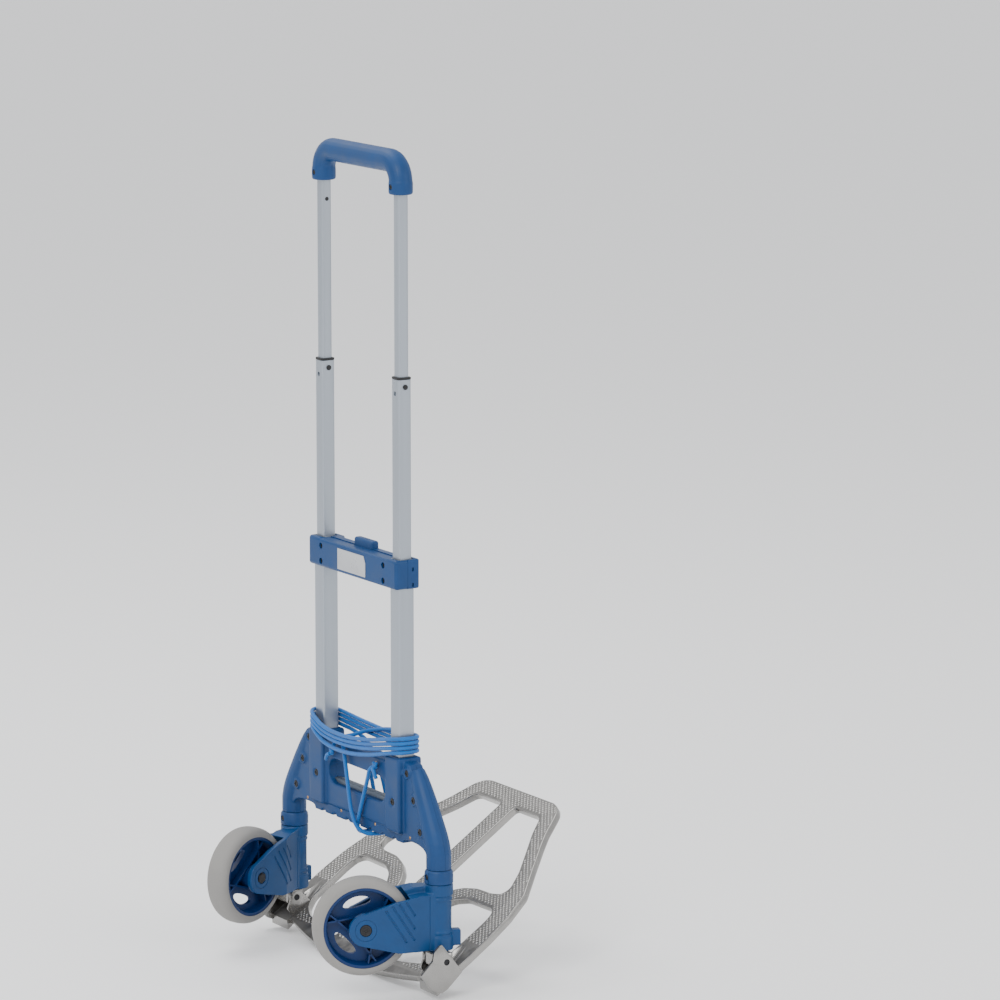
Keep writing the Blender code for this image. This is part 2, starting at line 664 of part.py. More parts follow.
def wheel(side, x):
    """Tyre, rim, bearing and the bolt and nut that hold them in the fork."""
    along, across = arm_frame(x)
    axle = Vector((x, 0, WHEEL_Z)) + along * FORK_REACH
    outer, width = RIM_RADIUS, RIM_HALF_WIDTH
    half = [
        (BEARING_RADIUS + GAP, width + 0.003),
        (HUB_RADIUS, width + 0.003),
        (HUB_RADIUS + 0.001, 0.004),
        (outer - 0.006, 0.004),
        (outer - 0.0035, width),
        (outer, width),
    ]
    profile = half + [(r, -w) for r, w in reversed(half)]
    rim = turned(f"rim_{side}", profile, 32, axle, across, RIM_BLUE)
    radial = across.cross(Vector((0, 0, 1)))
    for k in range(WINDOWS):
        angle = WINDOW_TURN[side] + math.tau * k / WINDOWS
        out = radial * math.cos(angle) + Vector((0, 0, 1)) * math.sin(angle)
        around = across.cross(out)
        window = prism(
            f"window_{side}_{k}", window_outline(), -0.03, 0.03,
            lambda u, v, w: axle + around * u + out * v + across * w,
        )
        boolean(rim, [window])
    tyre_half = TYRE_HALF_WIDTH
    crown = [
        (TYRE_RADIUS - 0.010 + 0.010 * math.cos(math.radians(a)), tyre_half * math.sin(math.radians(a)))
        for a in (90, 60, 30, 0, -30, -60, -90)
    ]
    profile = [(RIM_RADIUS + GAP, tyre_half - 0.001)] + crown + [(RIM_RADIUS + GAP, -tyre_half + 0.001)]
    turned(f"tyre_{side}", profile, 36, axle, across, GREY_TYRE)
    ring(
        f"bearing_{side}",
        axle - across * 0.018,
        across,
        AXLE_RADIUS + GAP,
        BEARING_RADIUS,
        0.036,
        STEEL,
        20,
    )
    seat = FORK_HALF_WIDTH - 0.0015 + GAP
    end = FORK_BOSS_HALF_WIDTH
    profile = [(0, -seat), (AXLE_RADIUS, -seat), (AXLE_RADIUS, seat), (0.0076, seat)]
    profile += [(0.0076, end - 0.0006), (0.0070, end), (0.0035, end), (0.0035, end - 0.002)]
    profile += [(0, end - 0.002)]
    turned(f"axle_bolt_{side}", profile, 20, axle, across, BLACK_STEEL)
    nut = [(0, -seat - 0.0003), (0.0074, -seat - 0.0003), (0.0074, -end), (0, -end)]
    turned(f"axle_nut_{side}", nut, 6, axle, across, BLACK_STEEL)


def plate_place(u, v, w):
    """A point of the toe plate: u across, v along it from the hinge, w above its plane."""
    forward = Vector((0, math.cos(PLATE_TILT), math.sin(PLATE_TILT)))
    normal = Vector((0, -math.sin(PLATE_TILT), math.cos(PLATE_TILT)))
    return Vector((u, PIVOT_Y, PIVOT_Z)) + forward * v + normal * w


def toe_plate():
    """The cast toe plate: an open frame with a spine, two cross bars and two hinge knuckles."""
    edge = [(0.2185, -0.024), (0.2195, 0.030), (0.2190, 0.068), (0.2150, 0.106), (0.2030, 0.146)]
    edge += [(0.170, 0.187), (0.138, 0.228), (0.124, 0.248), (0.1135, 0.268), (0.105, 0.283)]
    edge += [(0.094, 0.292), (0.080, 0.296)]
    mirrored = [(-u, v) for u, v in reversed(edge)]
    steps = [CHEEK_INNER_X * (k / 7 - 1) for k in range(15)]
    rear = [(u, rear_edge(u)) for u in steps]
    outline = edge + mirrored + rear
    plate = prism("toe_plate", outline, PLATE_BOTTOM, PLATE_TOP, plate_place, CAST)
    cutters = []
    for side, sign in (("left", -1), ("right", 1)):
        for name, hole in (("front", front_opening()), ("rear", rear_opening())):
            points = [(sign * u, v) for u, v in hole]
            cutters.append(
                prism(f"{name}_opening_{side}", points, -0.06, 0.02, plate_place)
            )
    boolean(plate, cutters)
    bevel(plate, 0.0012, 1, 50)
    knuckle = [(0.008, 0.025), (0.0105, -0.0175), (0.0105, -0.027), (-0.0190, -0.0310)]
    knuckle += [(-0.0290, -0.0300), (-0.0390, -0.0150), (-0.0395, 0.0108), (-0.0150, 0.0150)]
    knuckle += [(-0.0070, 0.0235)]
    for side, sign in (("left", -1), ("right", 1)):
        for name, near, far in (
            ("outer", CHEEK_OUTER_X - CHEEK_THICKNESS, CHEEK_OUTER_X),
            ("inner", CHEEK_INNER_X, CHEEK_INNER_X + CHEEK_THICKNESS),
        ):
            shape = knuckle if name == "outer" else inner_cheek()
            cheek = prism(
                f"{name}_cheek_{side}",
                shape,
                min(sign * near, sign * far),
                max(sign * near, sign * far),
                lambda u, v, w: plate_place(w, u, v),
            )
            boolean(plate, [cheek], "UNION")
        web = prism(
            f"heel_{side}",
            [(-0.036, -0.0285), (-0.030, -0.0172), (0.0, -0.0172), (0.0, -0.0265)],
            min(sign * CHEEK_INNER_X, sign * CHEEK_OUTER_X) + 0.001,
            max(sign * CHEEK_INNER_X, sign * CHEEK_OUTER_X) - 0.001,
            lambda u, v, w: plate_place(w, u, v),
        )
        boolean(plate, [web], "UNION")
        boolean(plate, [sleeve_room(side, sign * LEG_X)])
        room = rod(
            f"cheek_room_{side}",
            (sign * 0.15, PIVOT_Y, PIVOT_Z),
            (sign * 0.25, PIVOT_Y, PIVOT_Z),
            HINGE_PIN_RADIUS + GAP,
        )
        boolean(plate, [room])
    return plate


def sleeve_room(side, x):
    """Where the fork's sleeve sits in the plate once the plate is folded up."""
    pivot = Vector((0, PIVOT_Y, PIVOT_Z))
    back = Matrix.Rotation(-FOLD_UP, 3, "X")
    low = back @ (Vector((x, 0, FORK_BOTTOM - 0.0005)) - pivot) + pivot
    high = back @ (Vector((x, 0, FORK_TOP)) - pivot) + pivot
    return rod(f"sleeve_room_{side}", low, high, FORK_RADIUS + 0.0007, sides=24)


def inner_cheek():
    """The outline of the smaller cheek inside each knuckle."""
    top = arc((0.0, 0.0), 0.0106, -10, 165, 7)
    return top + [(-0.0205, -0.0040), (-0.0200, -0.0235), (0.0147, -0.0235)]


def rear_edge(u):
    """The toe plate's rear edge is an arc that bulges backwards in the middle."""
    return REAR_BULGE + (KNUCKLE_REAR - REAR_BULGE) * (u / CHEEK_INNER_X) ** 2


def front_opening():
    """The opening between the spine and a side bar."""
    inner = [(0.017, 0.2675), (0.017, -0.020), (0.034, -0.019), (0.037, 0.060), (0.045, 0.094)]
    bend = [(0.060, 0.111), (0.080, 0.123), (0.106, 0.130), (0.140, 0.131), (0.160, 0.136)]
    outer = [(0.164, 0.148), (0.150, 0.175), (0.124, 0.208), (0.100, 0.238), (0.084, 0.264), (0.076, 0.2675)]
    return inner + bend + outer


def rear_opening():
    """The opening between a cross bar, a side bar and the rear bar."""
    inner = [(0.060, -0.0205), (0.062, 0.055), (0.072, 0.086), (0.086, 0.100), (0.108, 0.109)]
    outer = [(0.168, 0.110), (0.179, 0.102), (0.1815, 0.085), (0.1800, 0.022), (0.168, 0.004), (0.150, -0.006)]
    return inner + outer + [(0.120, -0.0135), (0.090, -0.0180)]


def cord_route():
    """The elastic cord's own points, from the knot on the right to the knot on the left."""
    start = [
        (0.0520, -0.0170, 0.2800),
        (0.0480, -0.0200, 0.2755),
        (0.0420, -0.0190, 0.2650),
        (0.0310, -0.0172, 0.2450),
        (0.0215, -0.0166, 0.2250),
        (0.0135, -0.0164, 0.2060),
        (0.0100, -0.0167, 0.1930),
        (0.0098, -0.0160, 0.1868),
        (0.0095, -0.0108, 0.1825),
        (0.0085, 0.0050, 0.1825),
        (0.0065, 0.0156, 0.1858),
        (0.0030, 0.0180, 0.1990),
        (-0.0080, 0.0190, 0.2300),
        (-0.0200, 0.0195, 0.2580),
        (-0.0290, 0.0185, 0.2800),
        (-0.0330, 0.0168, 0.2905),
        (-0.0325, 0.0158, 0.2967),
        (-0.0310, 0.0000, 0.2990),
        (-0.0290, -0.0158, 0.2967),
        (-0.0265, -0.0170, 0.2900),
        (-0.0195, -0.0178, 0.2680),
        (-0.0105, -0.0192, 0.2400),
        (-0.0010, -0.0212, 0.2160),
        (0.0090, -0.0224, 0.2010),
        (0.0165, -0.0205, 0.1905),
        (0.0245, -0.0130, 0.1836),
        (0.0300, -0.0040, 0.1826),
        (0.0320, 0.0095, 0.1826),
        (0.0312, 0.0155, 0.1852),
        (0.0298, 0.0178, 0.1915),
        (0.0240, 0.0225, 0.2050),
        (0.0100, 0.0255, 0.2350),
        (-0.0090, 0.0255, 0.2680),
        (-0.0400, 0.0235, 0.2960),
    ]
    turns = []
    side_x = TUBE_X + OUTER_TUBE / 2 + 0.0045
    side_y = OUTER_TUBE / 2 - 0.0005
    corner_x = TUBE_X + OUTER_TUBE / 2 - 0.0060
    back_y = OUTER_TUBE / 2 + 0.0050
    for turn in range(CORD_TURNS):
        z = CORD_LOW_TURN + CORD_PITCH * turn
        lift = CORD_PITCH / 2
        slack = 0.0150 + 0.0005 * turn if turn else 0.0195
        if turn:
            turns += [(0.040, 0.0205, z - lift - 0.004), (-0.040, 0.0205, z - 0.005)]
        turns += [
            (-corner_x, back_y, z),
            (-side_x, side_y, z),
            (-side_x, -side_y, z),
            (-0.103, -0.0207, z - 0.0030),
            (-0.070, -0.0222, z - slack * 0.85),
            (-0.015, -0.0224, z - slack),
            (0.045, -0.0222, z - slack * 0.60),
            (0.103, -0.0207, z + lift / 2),
            (side_x, -side_y, z + lift),
            (side_x, side_y, z + lift),
            (corner_x, back_y, z + lift),
        ]
    end = [
        (0.040, 0.0190, 0.3240),
        (-0.020, 0.0160, 0.3110),
        (-0.036, 0.0040, 0.3040),
        (-0.044, -0.0110, 0.3000),
        (-0.0495, -0.0168, 0.2930),
        (-0.0530, -0.0178, 0.2860),
    ]
    return start + turns + end


def elastic_cord():
    """The cord as a plain tube, and the knot at each end."""
    curve = bpy.data.curves.new("elastic_cord", "CURVE")
    curve.dimensions = "3D"
    curve.bevel_depth = CORD_RADIUS
    curve.bevel_resolution = 2
    curve.use_fill_caps = True
    points = cord_route()
    spline = curve.splines.new("POLY")
    spline.points.add(len(points) - 1)
    for place, point in zip(spline.points, points):
        place.co = (*point, 1)
    obj = bpy.data.objects.new("elastic_cord", curve)
    bpy.context.scene.collection.objects.link(obj)
    own = material(CORD_BLUE).copy()
    own.name = "elastic_cord_finish"
    curve.materials.append(own)
    knot("cord_knot_right", (0.0578, -0.0178, 0.2832))
    knot("cord_knot_left", (-0.0558, -0.0184, 0.2806))
    return obj


def knot(name, place):
    """A tight knot, as a rounded bead beside the cord's end."""
    bm = bmesh.new()
    bmesh.ops.create_icosphere(bm, subdivisions=2, radius=KNOT_RADIUS)
    bmesh.ops.scale(bm, vec=(1.15, 0.8, 0.95), verts=bm.verts)
    bmesh.ops.translate(bm, vec=place, verts=bm.verts)
    return new_object(name, bm, CORD_BLUE, 60)


def joint_frame(name, place, nodes):
    """An empty on a joint's axis, which carries the pieces that the joint moves."""
    empty = bpy.data.objects.new(name, None)
    bpy.context.scene.collection.objects.link(empty)
    empty.empty_display_size = 0.02
    empty.location = place
    for node in nodes:
        piece = bpy.data.objects[node]
        piece.parent = empty
        piece.matrix_parent_inverse = Matrix.Translation(place).inverted()
    return empty


def hang_on_joints():
    """Every moving piece's parent empty stands on its joint's axis."""
    button_top = CROSSBAR_TOP + BUTTON_RISE
    joint_frame("button_slide", (0, BUTTON_Y, button_top), ["release_button"])
    for side, x in SIDES:
        leg_x = math.copysign(LEG_X, x)
        along, across = arm_frame(leg_x)
        axle = Vector((leg_x, 0, WHEEL_Z)) + along * FORK_REACH
        joint_frame(f"latch_{side}_slide", (x, 0, LATCH_Z), [f"latch_rod_{side}"])
        fixed = [f"{piece}_{side}" for piece in ("fork", "fork_bush", "axle_bolt", "axle_nut")]
        joint_frame(f"fork_{side}_swing", (leg_x, 0, FORK_BOTTOM), fixed)
        spinning = [f"{piece}_{side}" for piece in ("tyre", "rim", "bearing")]
        joint_frame(f"wheel_{side}_spin", axle, spinning)
        joint_frame(f"link_{side}_axis", (leg_x, PIVOT_Y, PIVOT_Z), [f"fold_link_{side}"])
    joint_frame("toe_plate_axis", (0, PIVOT_Y, PIVOT_Z), ["toe_plate"])
    middle = ["middle_tube", "stage_collar", "collar_stud"]
    joint_frame("middle_stage", (0, 0, MIDDLE_BOTTOM), [f"{n}_{s}" for n in middle for s, _ in SIDES])
    inner = [f"{n}_{s}" for n in ("inner_tube", "handle_screw") for s, _ in SIDES]
    joint_frame("inner_stage", (0, 0, INNER_BOTTOM), inner + ["handle_grip"])


def stand_on_origin():
    """Moves the whole truck so that the origin is under the middle of its outline."""
    root = bpy.data.objects.new("hand_truck", None)
    loose = [obj for obj in bpy.data.objects if obj.parent is None and obj is not root]
    bpy.context.scene.collection.objects.link(root)
    root.location = (0, FRAME_Y, 0)
    for obj in loose:
        obj.parent = root


def clear_scene():
    for obj in list(bpy.data.objects):
        bpy.data.objects.remove(obj)


SIDES = (("left", -TUBE_X), ("right", TUBE_X))


def main():
    clear_scene()
    for side, x in SIDES:
        uprights(side, x)
    handle()
    crossbar()
    base()
    for side, x in SIDES:
        leg_x = math.copysign(LEG_X, x)
        leg(side, leg_x)
        fold_link(side, leg_x)
        fork(side, leg_x)
        wheel(side, leg_x)
    toe_plate()
    elastic_cord()
    hang_on_joints()
    stand_on_origin()


main()
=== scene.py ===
"""Folding hand truck: moulded shells, wheels, cast toe plate and load cord round the packed model."""

import math

import bpy
from bpy.props import FloatProperty, FloatVectorProperty, IntProperty, PointerProperty
from mathutils import Matrix, Vector


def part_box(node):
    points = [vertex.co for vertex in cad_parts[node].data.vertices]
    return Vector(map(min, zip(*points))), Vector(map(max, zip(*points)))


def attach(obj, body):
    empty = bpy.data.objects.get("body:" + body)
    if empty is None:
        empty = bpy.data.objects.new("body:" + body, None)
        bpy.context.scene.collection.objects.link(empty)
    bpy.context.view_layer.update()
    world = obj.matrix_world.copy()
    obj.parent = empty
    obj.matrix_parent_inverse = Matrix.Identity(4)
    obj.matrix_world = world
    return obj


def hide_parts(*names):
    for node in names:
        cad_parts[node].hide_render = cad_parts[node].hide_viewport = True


bl_info = {
    "name": "Folding Hand Truck",
    "version": (1, 0, 0),
    "blender": (4, 5, 0),
    "location": "View3D > Sidebar > Hand Truck",
    "description": "Finishes a folding hand truck piece by piece",
    "category": "Object",
}

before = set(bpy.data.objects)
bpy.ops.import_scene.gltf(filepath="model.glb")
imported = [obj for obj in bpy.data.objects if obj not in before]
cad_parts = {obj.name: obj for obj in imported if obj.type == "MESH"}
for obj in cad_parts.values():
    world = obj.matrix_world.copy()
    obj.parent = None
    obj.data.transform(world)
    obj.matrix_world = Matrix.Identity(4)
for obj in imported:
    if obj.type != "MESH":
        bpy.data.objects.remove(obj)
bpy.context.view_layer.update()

FRAME_Y = -0.04660
GAP = 0.0003
SIDES = (("left", -1), ("right", 1))

TUBE_X = 0.100
LEG_X = 0.192
OUTER_TUBE, MIDDLE_TUBE, INNER_TUBE = 0.024, 0.0195, 0.0150
MIDDLE_TOP = 0.8035
HANDLE_TOP, HANDLE_BOTTOM = 1.103, 1.045
GRIP_RADIUS, GRIP_CORNER = 0.0155, 0.027
CROSSBAR_BOTTOM, CROSSBAR_TOP = 0.5275, 0.5665
CROSSBAR_HALF_LENGTH, CROSSBAR_HALF_DEPTH = 0.115, 0.0185
BUTTON_SIZE, BUTTON_RISE, BUTTON_Y = (0.048, 0.0115, 0.020), 0.0100, 0.0045

BASE_BOTTOM, BASE_TOP, BOX_TOP = 0.188, 0.2935, 0.303
BASE_HALF_DEPTH, BOX_HALF_DEPTH = 0.0125, 0.018
SLOT_Z, SLOT_RADIUS, SLOT_HALF_LENGTH = 0.251, 0.0172, 0.0755
COLLAR_RADIUS, COLLAR_BOTTOM, COLLAR_TOP = 0.0190, 0.1505, 0.1685
LEG_PIN_RADIUS, BUSH_RADIUS = 0.0080, 0.0105

FORK_SWING = math.radians(20)
FORK_BOTTOM, FORK_TOP = 0.0615, 0.1500
FORK_RADIUS, FORK_REACH, FORK_END_RADIUS = 0.0188, 0.102, 0.022
FORK_HALF_WIDTH, FORK_INNER_HALF_WIDTH = 0.0290, 0.0215
WHEEL_Z = 0.098
TYRE_RADIUS, TYRE_HALF_WIDTH = 0.067, 0.0172
RIM_RADIUS, RIM_HALF_WIDTH = 0.0545, 0.0158
HUB_RADIUS, BEARING_RADIUS, AXLE_RADIUS = 0.0155, 0.0110, 0.0050
WINDOW_RADIUS, WINDOW_LENGTH, WINDOW_WIDTH = 0.0335, 0.038, 0.0140

PIVOT_Y, PIVOT_Z = -0.006, 0.0503
PLATE_TILT = math.radians(34.5)
FOLD_UP = math.radians(45.5)
PLATE_TOP, PLATE_BOTTOM = -0.018, -0.028
REAR_BULGE, KNUCKLE_REAR = -0.04843, -0.0250
CHEEK_OUTER_X, CHEEK_INNER_X, CHEEK_THICKNESS = 0.222, 0.176, 0.0042
HINGE_PIN_RADIUS = 0.0040

CORD_TURNS, CORD_PITCH, CORD_LOW_TURN = 4, 0.0062, 0.3070


# ---------------------------------------------------------------- settings


def colour_setting(name, description, default):
    """A colour a user would change."""
    return FloatVectorProperty(
        name=name, description=description, subtype="COLOR", size=3, min=0, max=1, default=default
    )


def length_setting(name, description, default, low, high):
    """A length a user would change."""
    return FloatProperty(name=name, description=description, default=default, min=low, max=high, unit="LENGTH")


class HandTruckColours(bpy.types.PropertyGroup):
    """Colours of the moulded, metal and rubber pieces."""

    shell: colour_setting("Shell", "Blue of the base, crossbar and grip", (0.003, 0.040, 0.140))
    fork: colour_setting("Fork", "Blue of the wheel forks", (0.0005, 0.042, 0.142))
    rim: colour_setting("Rim", "Blue of the rims", (0.0005, 0.020, 0.095))
    tyre: colour_setting("Tyre", "Grey of the tyres", (0.24, 0.233, 0.222))
    tube: colour_setting("Tube", "Anodised aluminium of the uprights", (0.360, 0.395, 0.440))
    cast: colour_setting("Cast", "Cast aluminium of the toe plate", (0.27, 0.263, 0.252))
    cord: colour_setting("Cord", "Blue of the elastic cord", (0.0, 0.120, 0.42))


class HandTruckSizes(bpy.types.PropertyGroup):
    """Sizes of the surface detail."""

    shell_voxel: length_setting("Shell rounding", "Mould radius on the shells", 0.0013, 0.0008, 0.004)
    stud_pitch: length_setting("Stud pitch", "Spacing of the studs along the toe plate", 0.0062, 0.004, 0.02)
    stud_height: length_setting("Stud height", "How far the studs stand up", 0.0007, 0.0002, 0.002)
    groove: length_setting("Fork groove", "Radius of the slanted grooves in the fork", 0.0018, 0.0005, 0.003)
    cord: length_setting("Cord diameter", "Diameter of the elastic cord", 0.0055, 0.003, 0.008)
    tyre_steps: IntProperty(name="Tyre steps", description="Faces round each tyre", default=96, min=32, max=160)


# ---------------------------------------------------------------- modelling


def select_only(*objs):
    """Selects these objects and nothing else; the last is active."""
    if bpy.context.object and bpy.context.object.mode != "OBJECT":
        bpy.ops.object.mode_set(mode="OBJECT")
    bpy.ops.object.select_all(action="DESELECT")
    for obj in objs:
        obj.select_set(True)
    bpy.context.view_layer.objects.active = objs[-1]


def edit(obj, kind="FACE", test=None):
    """Enters edit mode with everything selected, or with the faces or edges that a test picks."""
    select_only(obj)
    bpy.ops.object.mode_set(mode="EDIT")
    bpy.ops.mesh.select_mode(type=kind)
    bpy.ops.mesh.select_all(action="DESELECT" if test else "SELECT")
    if not test:
        return
    bpy.ops.object.mode_set(mode="OBJECT")
    mesh = obj.data
    if kind == "FACE":
        for face in mesh.polygons:
            face.select = test(face.center, face.normal)
    else:
        for edge in mesh.edges:
            ends = [mesh.vertices[i].co for i in edge.vertices]
            edge.select = test(ends[0], ends[1])
    bpy.ops.object.mode_set(mode="EDIT")


def leave():
    bpy.ops.object.mode_set(mode="OBJECT")


def bevelled(obj, width, segments, test=None):
    """Rounds every edge, or the edges that a test picks."""
    edit(obj, "EDGE", test)
    bpy.ops.mesh.bevel(offset=width, segments=segments, affect="EDGES")
    leave()


def modify(obj, kind, **settings):
    """Adds a modifier and applies it."""
    modifier = obj.modifiers.new(kind.lower(), kind)
    for key, value in settings.items():
        setattr(modifier, key, value)
    select_only(obj)
    bpy.ops.object.modifier_apply(modifier=modifier.name)
    return obj


def softened(obj, width, segments):
    """Rounds every sharp edge."""
    modify(obj, "BEVEL", width=width, segments=segments, limit_method="ANGLE", angle_limit=math.radians(50))


def block(low, high, edge=0.0, segments=3):
    """A box between two corners with rounded edges."""
    bpy.ops.object.select_all(action="DESELECT")
    size = Vector(high) - Vector(low)
    bpy.ops.mesh.primitive_cube_add(size=1, location=(Vector(high) + Vector(low)) / 2, scale=size)
    bpy.ops.object.transform_apply(location=True, rotation=True, scale=True)
    obj = bpy.context.object
    if edge:
        bevelled(obj, edge, segments)
    return obj


def outlined(outline, low, high, place):
    """A filled ring of points set on an outline, then extruded from low to high."""
    bpy.ops.object.select_all(action="DESELECT")
    bpy.ops.mesh.primitive_circle_add(vertices=len(outline), fill_type="NGON", location=(0, 0, 0))
    obj = bpy.context.object
    for vert, (u, v) in zip(obj.data.vertices, outline):
        vert.co = place(u, v, low)
    shift = Vector(place(0, 0, high)) - Vector(place(0, 0, low))
    edit(obj)
    bpy.ops.mesh.extrude_region_move(TRANSFORM_OT_translate={"value": shift})
    bpy.ops.mesh.select_all(action="SELECT")
    bpy.ops.mesh.normals_make_consistent(inside=False)
    leave()
    return obj


def turned(profile, steps=48):
    """A closed profile of (radius, distance along X) points spun round the X axis."""
    bpy.ops.object.select_all(action="DESELECT")
    bpy.ops.mesh.primitive_circle_add(vertices=len(profile), fill_type="NOTHING", location=(0, 0, 0))
    obj = bpy.context.object
    for vert, (radius, along) in zip(obj.data.vertices, profile):
        vert.co = (along, 0, radius)
    edit(obj)
    bpy.ops.mesh.spin(steps=steps, angle=math.tau, center=(0, 0, 0), axis=(1, 0, 0))
    bpy.ops.mesh.select_all(action="SELECT")
    bpy.ops.mesh.remove_doubles(threshold=0.000005)
    bpy.ops.mesh.dissolve_degenerate(threshold=0.000005)
    bpy.ops.mesh.delete_loose(use_verts=True, use_edges=True, use_faces=False)
    bpy.ops.mesh.select_all(action="SELECT")
    bpy.ops.mesh.normals_make_consistent(inside=False)
    leave()
    return obj


def bar(points, radii, sides=24):
    """A round bar along points, with its own radius at each point."""
    curve = bpy.data.curves.new("bar", "CURVE")
    curve.dimensions = "3D"
    curve.bevel_depth = 1.0
    curve.bevel_resolution = max(sides // 4 - 1, 0)
    curve.use_fill_caps = True
    spline = curve.splines.new("POLY")
    spline.points.add(len(points) - 1)
    for place, point, radius in zip(spline.points, points, radii):
        place.co = (*point, 1)
        place.radius = radius
    obj = bpy.data.objects.new("bar", curve)
    bpy.context.scene.collection.objects.link(obj)
    select_only(obj)
    bpy.ops.object.convert(target="MESH")
    obj = bpy.context.object
    edit(obj)
    bpy.ops.mesh.remove_doubles(threshold=0.000005)
    bpy.ops.mesh.normals_make_consistent(inside=False)
    leave()
    return obj


def joined(*objs):
    """Several meshes as one object."""
    select_only(*objs)
    bpy.ops.object.join()
    return bpy.context.object


def cut(target, *others, operation="DIFFERENCE"):
    """Cuts the others from the target, or joins them to it, and removes them."""
    for other in others:
        modify(target, "BOOLEAN", operation=operation, object=other, solver="EXACT")
        bpy.data.objects.remove(other)
    return target


def moulded(obj, voxel, passes=5):
    """Rounds a shape all over, as a mould does: a voxel remesh, then smoothing."""
    modify(obj, "REMESH", mode="VOXEL", voxel_size=voxel, use_smooth_shade=True)
    modify(obj, "SMOOTH", factor=0.5, iterations=passes)
    return obj


def copied(obj, matrix=None):
    """A copy with its own mesh, moved by a matrix."""
    other = obj.copy()
    other.data = obj.data.copy()
    bpy.context.scene.collection.objects.link(other)
    return moved(other, matrix) if matrix else other


def moved(obj, matrix):
    """Moves a mesh by a matrix and leaves its object at the origin."""
    obj.matrix_world = matrix
    select_only(obj)
    bpy.ops.object.transform_apply(location=True, rotation=True, scale=True)
    if matrix.determinant() < 0:
        edit(obj)
        bpy.ops.mesh.normals_make_consistent(inside=False)
        leave()
    return obj


MIRROR = Matrix.Scale(-1, 4, (1, 0, 0))


def rod(radius, low, high, steps):
    """A cylinder along X."""
    return turned([(0, low), (radius, low), (radius, high), (0, high)], steps)


def standing(x, z):
    """Turns what was made along X upright, with its foot at x and z."""
    return Matrix.Translation((x, 0, z)) @ Matrix.Rotation(math.radians(-90), 4, "Y")


def post(x, half, corner, low, high):
    """A square upright with round corners."""
    return outlined(rounded_square(half, corner), low, high, lambda u, v, w: (x + u, v, w))


def drill(x, z, radius, low_y, high_y):
    """A round cutter along Y."""
    tool = rod(radius, 0, high_y - low_y, 20)
    return moved(tool, Matrix.Translation((x, low_y, z)) @ Matrix.Rotation(math.radians(90), 4, "Z"))


def settle(obj, name, body, finish, replaces=(), angle=None, shift=True):
    """Puts a finished piece on its body with its material and its slot."""
    obj.name = name
    obj.data.name = name
    if shift:
        moved(obj, Matrix.Translation((0, FRAME_Y, 0)))
    obj.data.materials.clear()
    obj.data.materials.append(material(finish))
    select_only(obj)
    if angle is None:
        bpy.ops.object.shade_smooth()
    else:
        bpy.ops.object.shade_smooth_by_angle(angle=math.radians(angle))
    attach(obj, body)
    if replaces:
        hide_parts(*replaces)
    return obj


def arc(centre, radius, start, end, steps):
    """Points of an arc, angles in degrees."""
    angles = [math.radians(start + (end - start) * k / steps) for k in range(steps + 1)]
    return [(centre[0] + radius * math.cos(a), centre[1] + radius * math.sin(a)) for a in angles]


def rounded_square(half, corner, steps=5):
    """The outline of a square tube."""
    inner = half - corner
    outline = []
    for quarter, (x, y) in enumerate(((1, 1), (-1, 1), (-1, -1), (1, -1))):
        outline += arc((x * inner, y * inner), corner, 90 * quarter, 90 * quarter + 90, steps)
    return outline


def stadium(half_length, radius, steps=10):
    """A slot's outline, long across."""
    right = arc((half_length - radius, 0), radius, -90, 90, steps)
    return right + arc((radius - half_length, 0), radius, 90, 270, steps)


def from_front(u, v, w):
    """Outlines drawn as seen from the wheel side."""
    return (u, w, v)


def from_above(u, v, w):
    return (u, v, w)


# ---------------------------------------------------------------- materials


def feed(tree, node, values):
    """Links each named input to a socket, or sets it to a value."""
    for key, value in values.items():
        if isinstance(value, bpy.types.NodeSocket):
            tree.links.new(value, node.inputs[key])
        else:
            node.inputs[key].default_value = value


def add_node(tree, kind, values, **settings):
    """A shader node with its settings and inputs."""
    node = tree.nodes.new(f"ShaderNode{kind}")
    for key, value in settings.items():
        setattr(node, key, value)
    feed(tree, node, values)
    return node


def math_node(tree, operation, *values):
    """The output of a maths node fed by sockets or numbers."""
    return add_node(tree, "Math", dict(enumerate(values)), operation=operation).outputs[0]


def node_group(name, inputs, outputs, fill):
    """A node group by name; the first time, its sockets are made and it is filled."""
    found = bpy.data.node_groups.get(name)
    if found:
        return found
    group = bpy.data.node_groups.new(name, "ShaderNodeTree")
    for label, value in inputs.items():
        kind = {3: "Vector", 4: "Color"}.get(len(value), "Float") if isinstance(value, tuple) else "Float"
        socket = group.interface.new_socket(label, in_out="INPUT", socket_type=f"NodeSocket{kind}")
        socket.default_value = value
    for label, kind in outputs.items():
        group.interface.new_socket(label, in_out="OUTPUT", socket_type=f"NodeSocket{kind}")
    start, end = group.nodes.new("NodeGroupInput"), group.nodes.new("NodeGroupOutput")
    feed(group, end, fill(group, start.outputs))
    return group


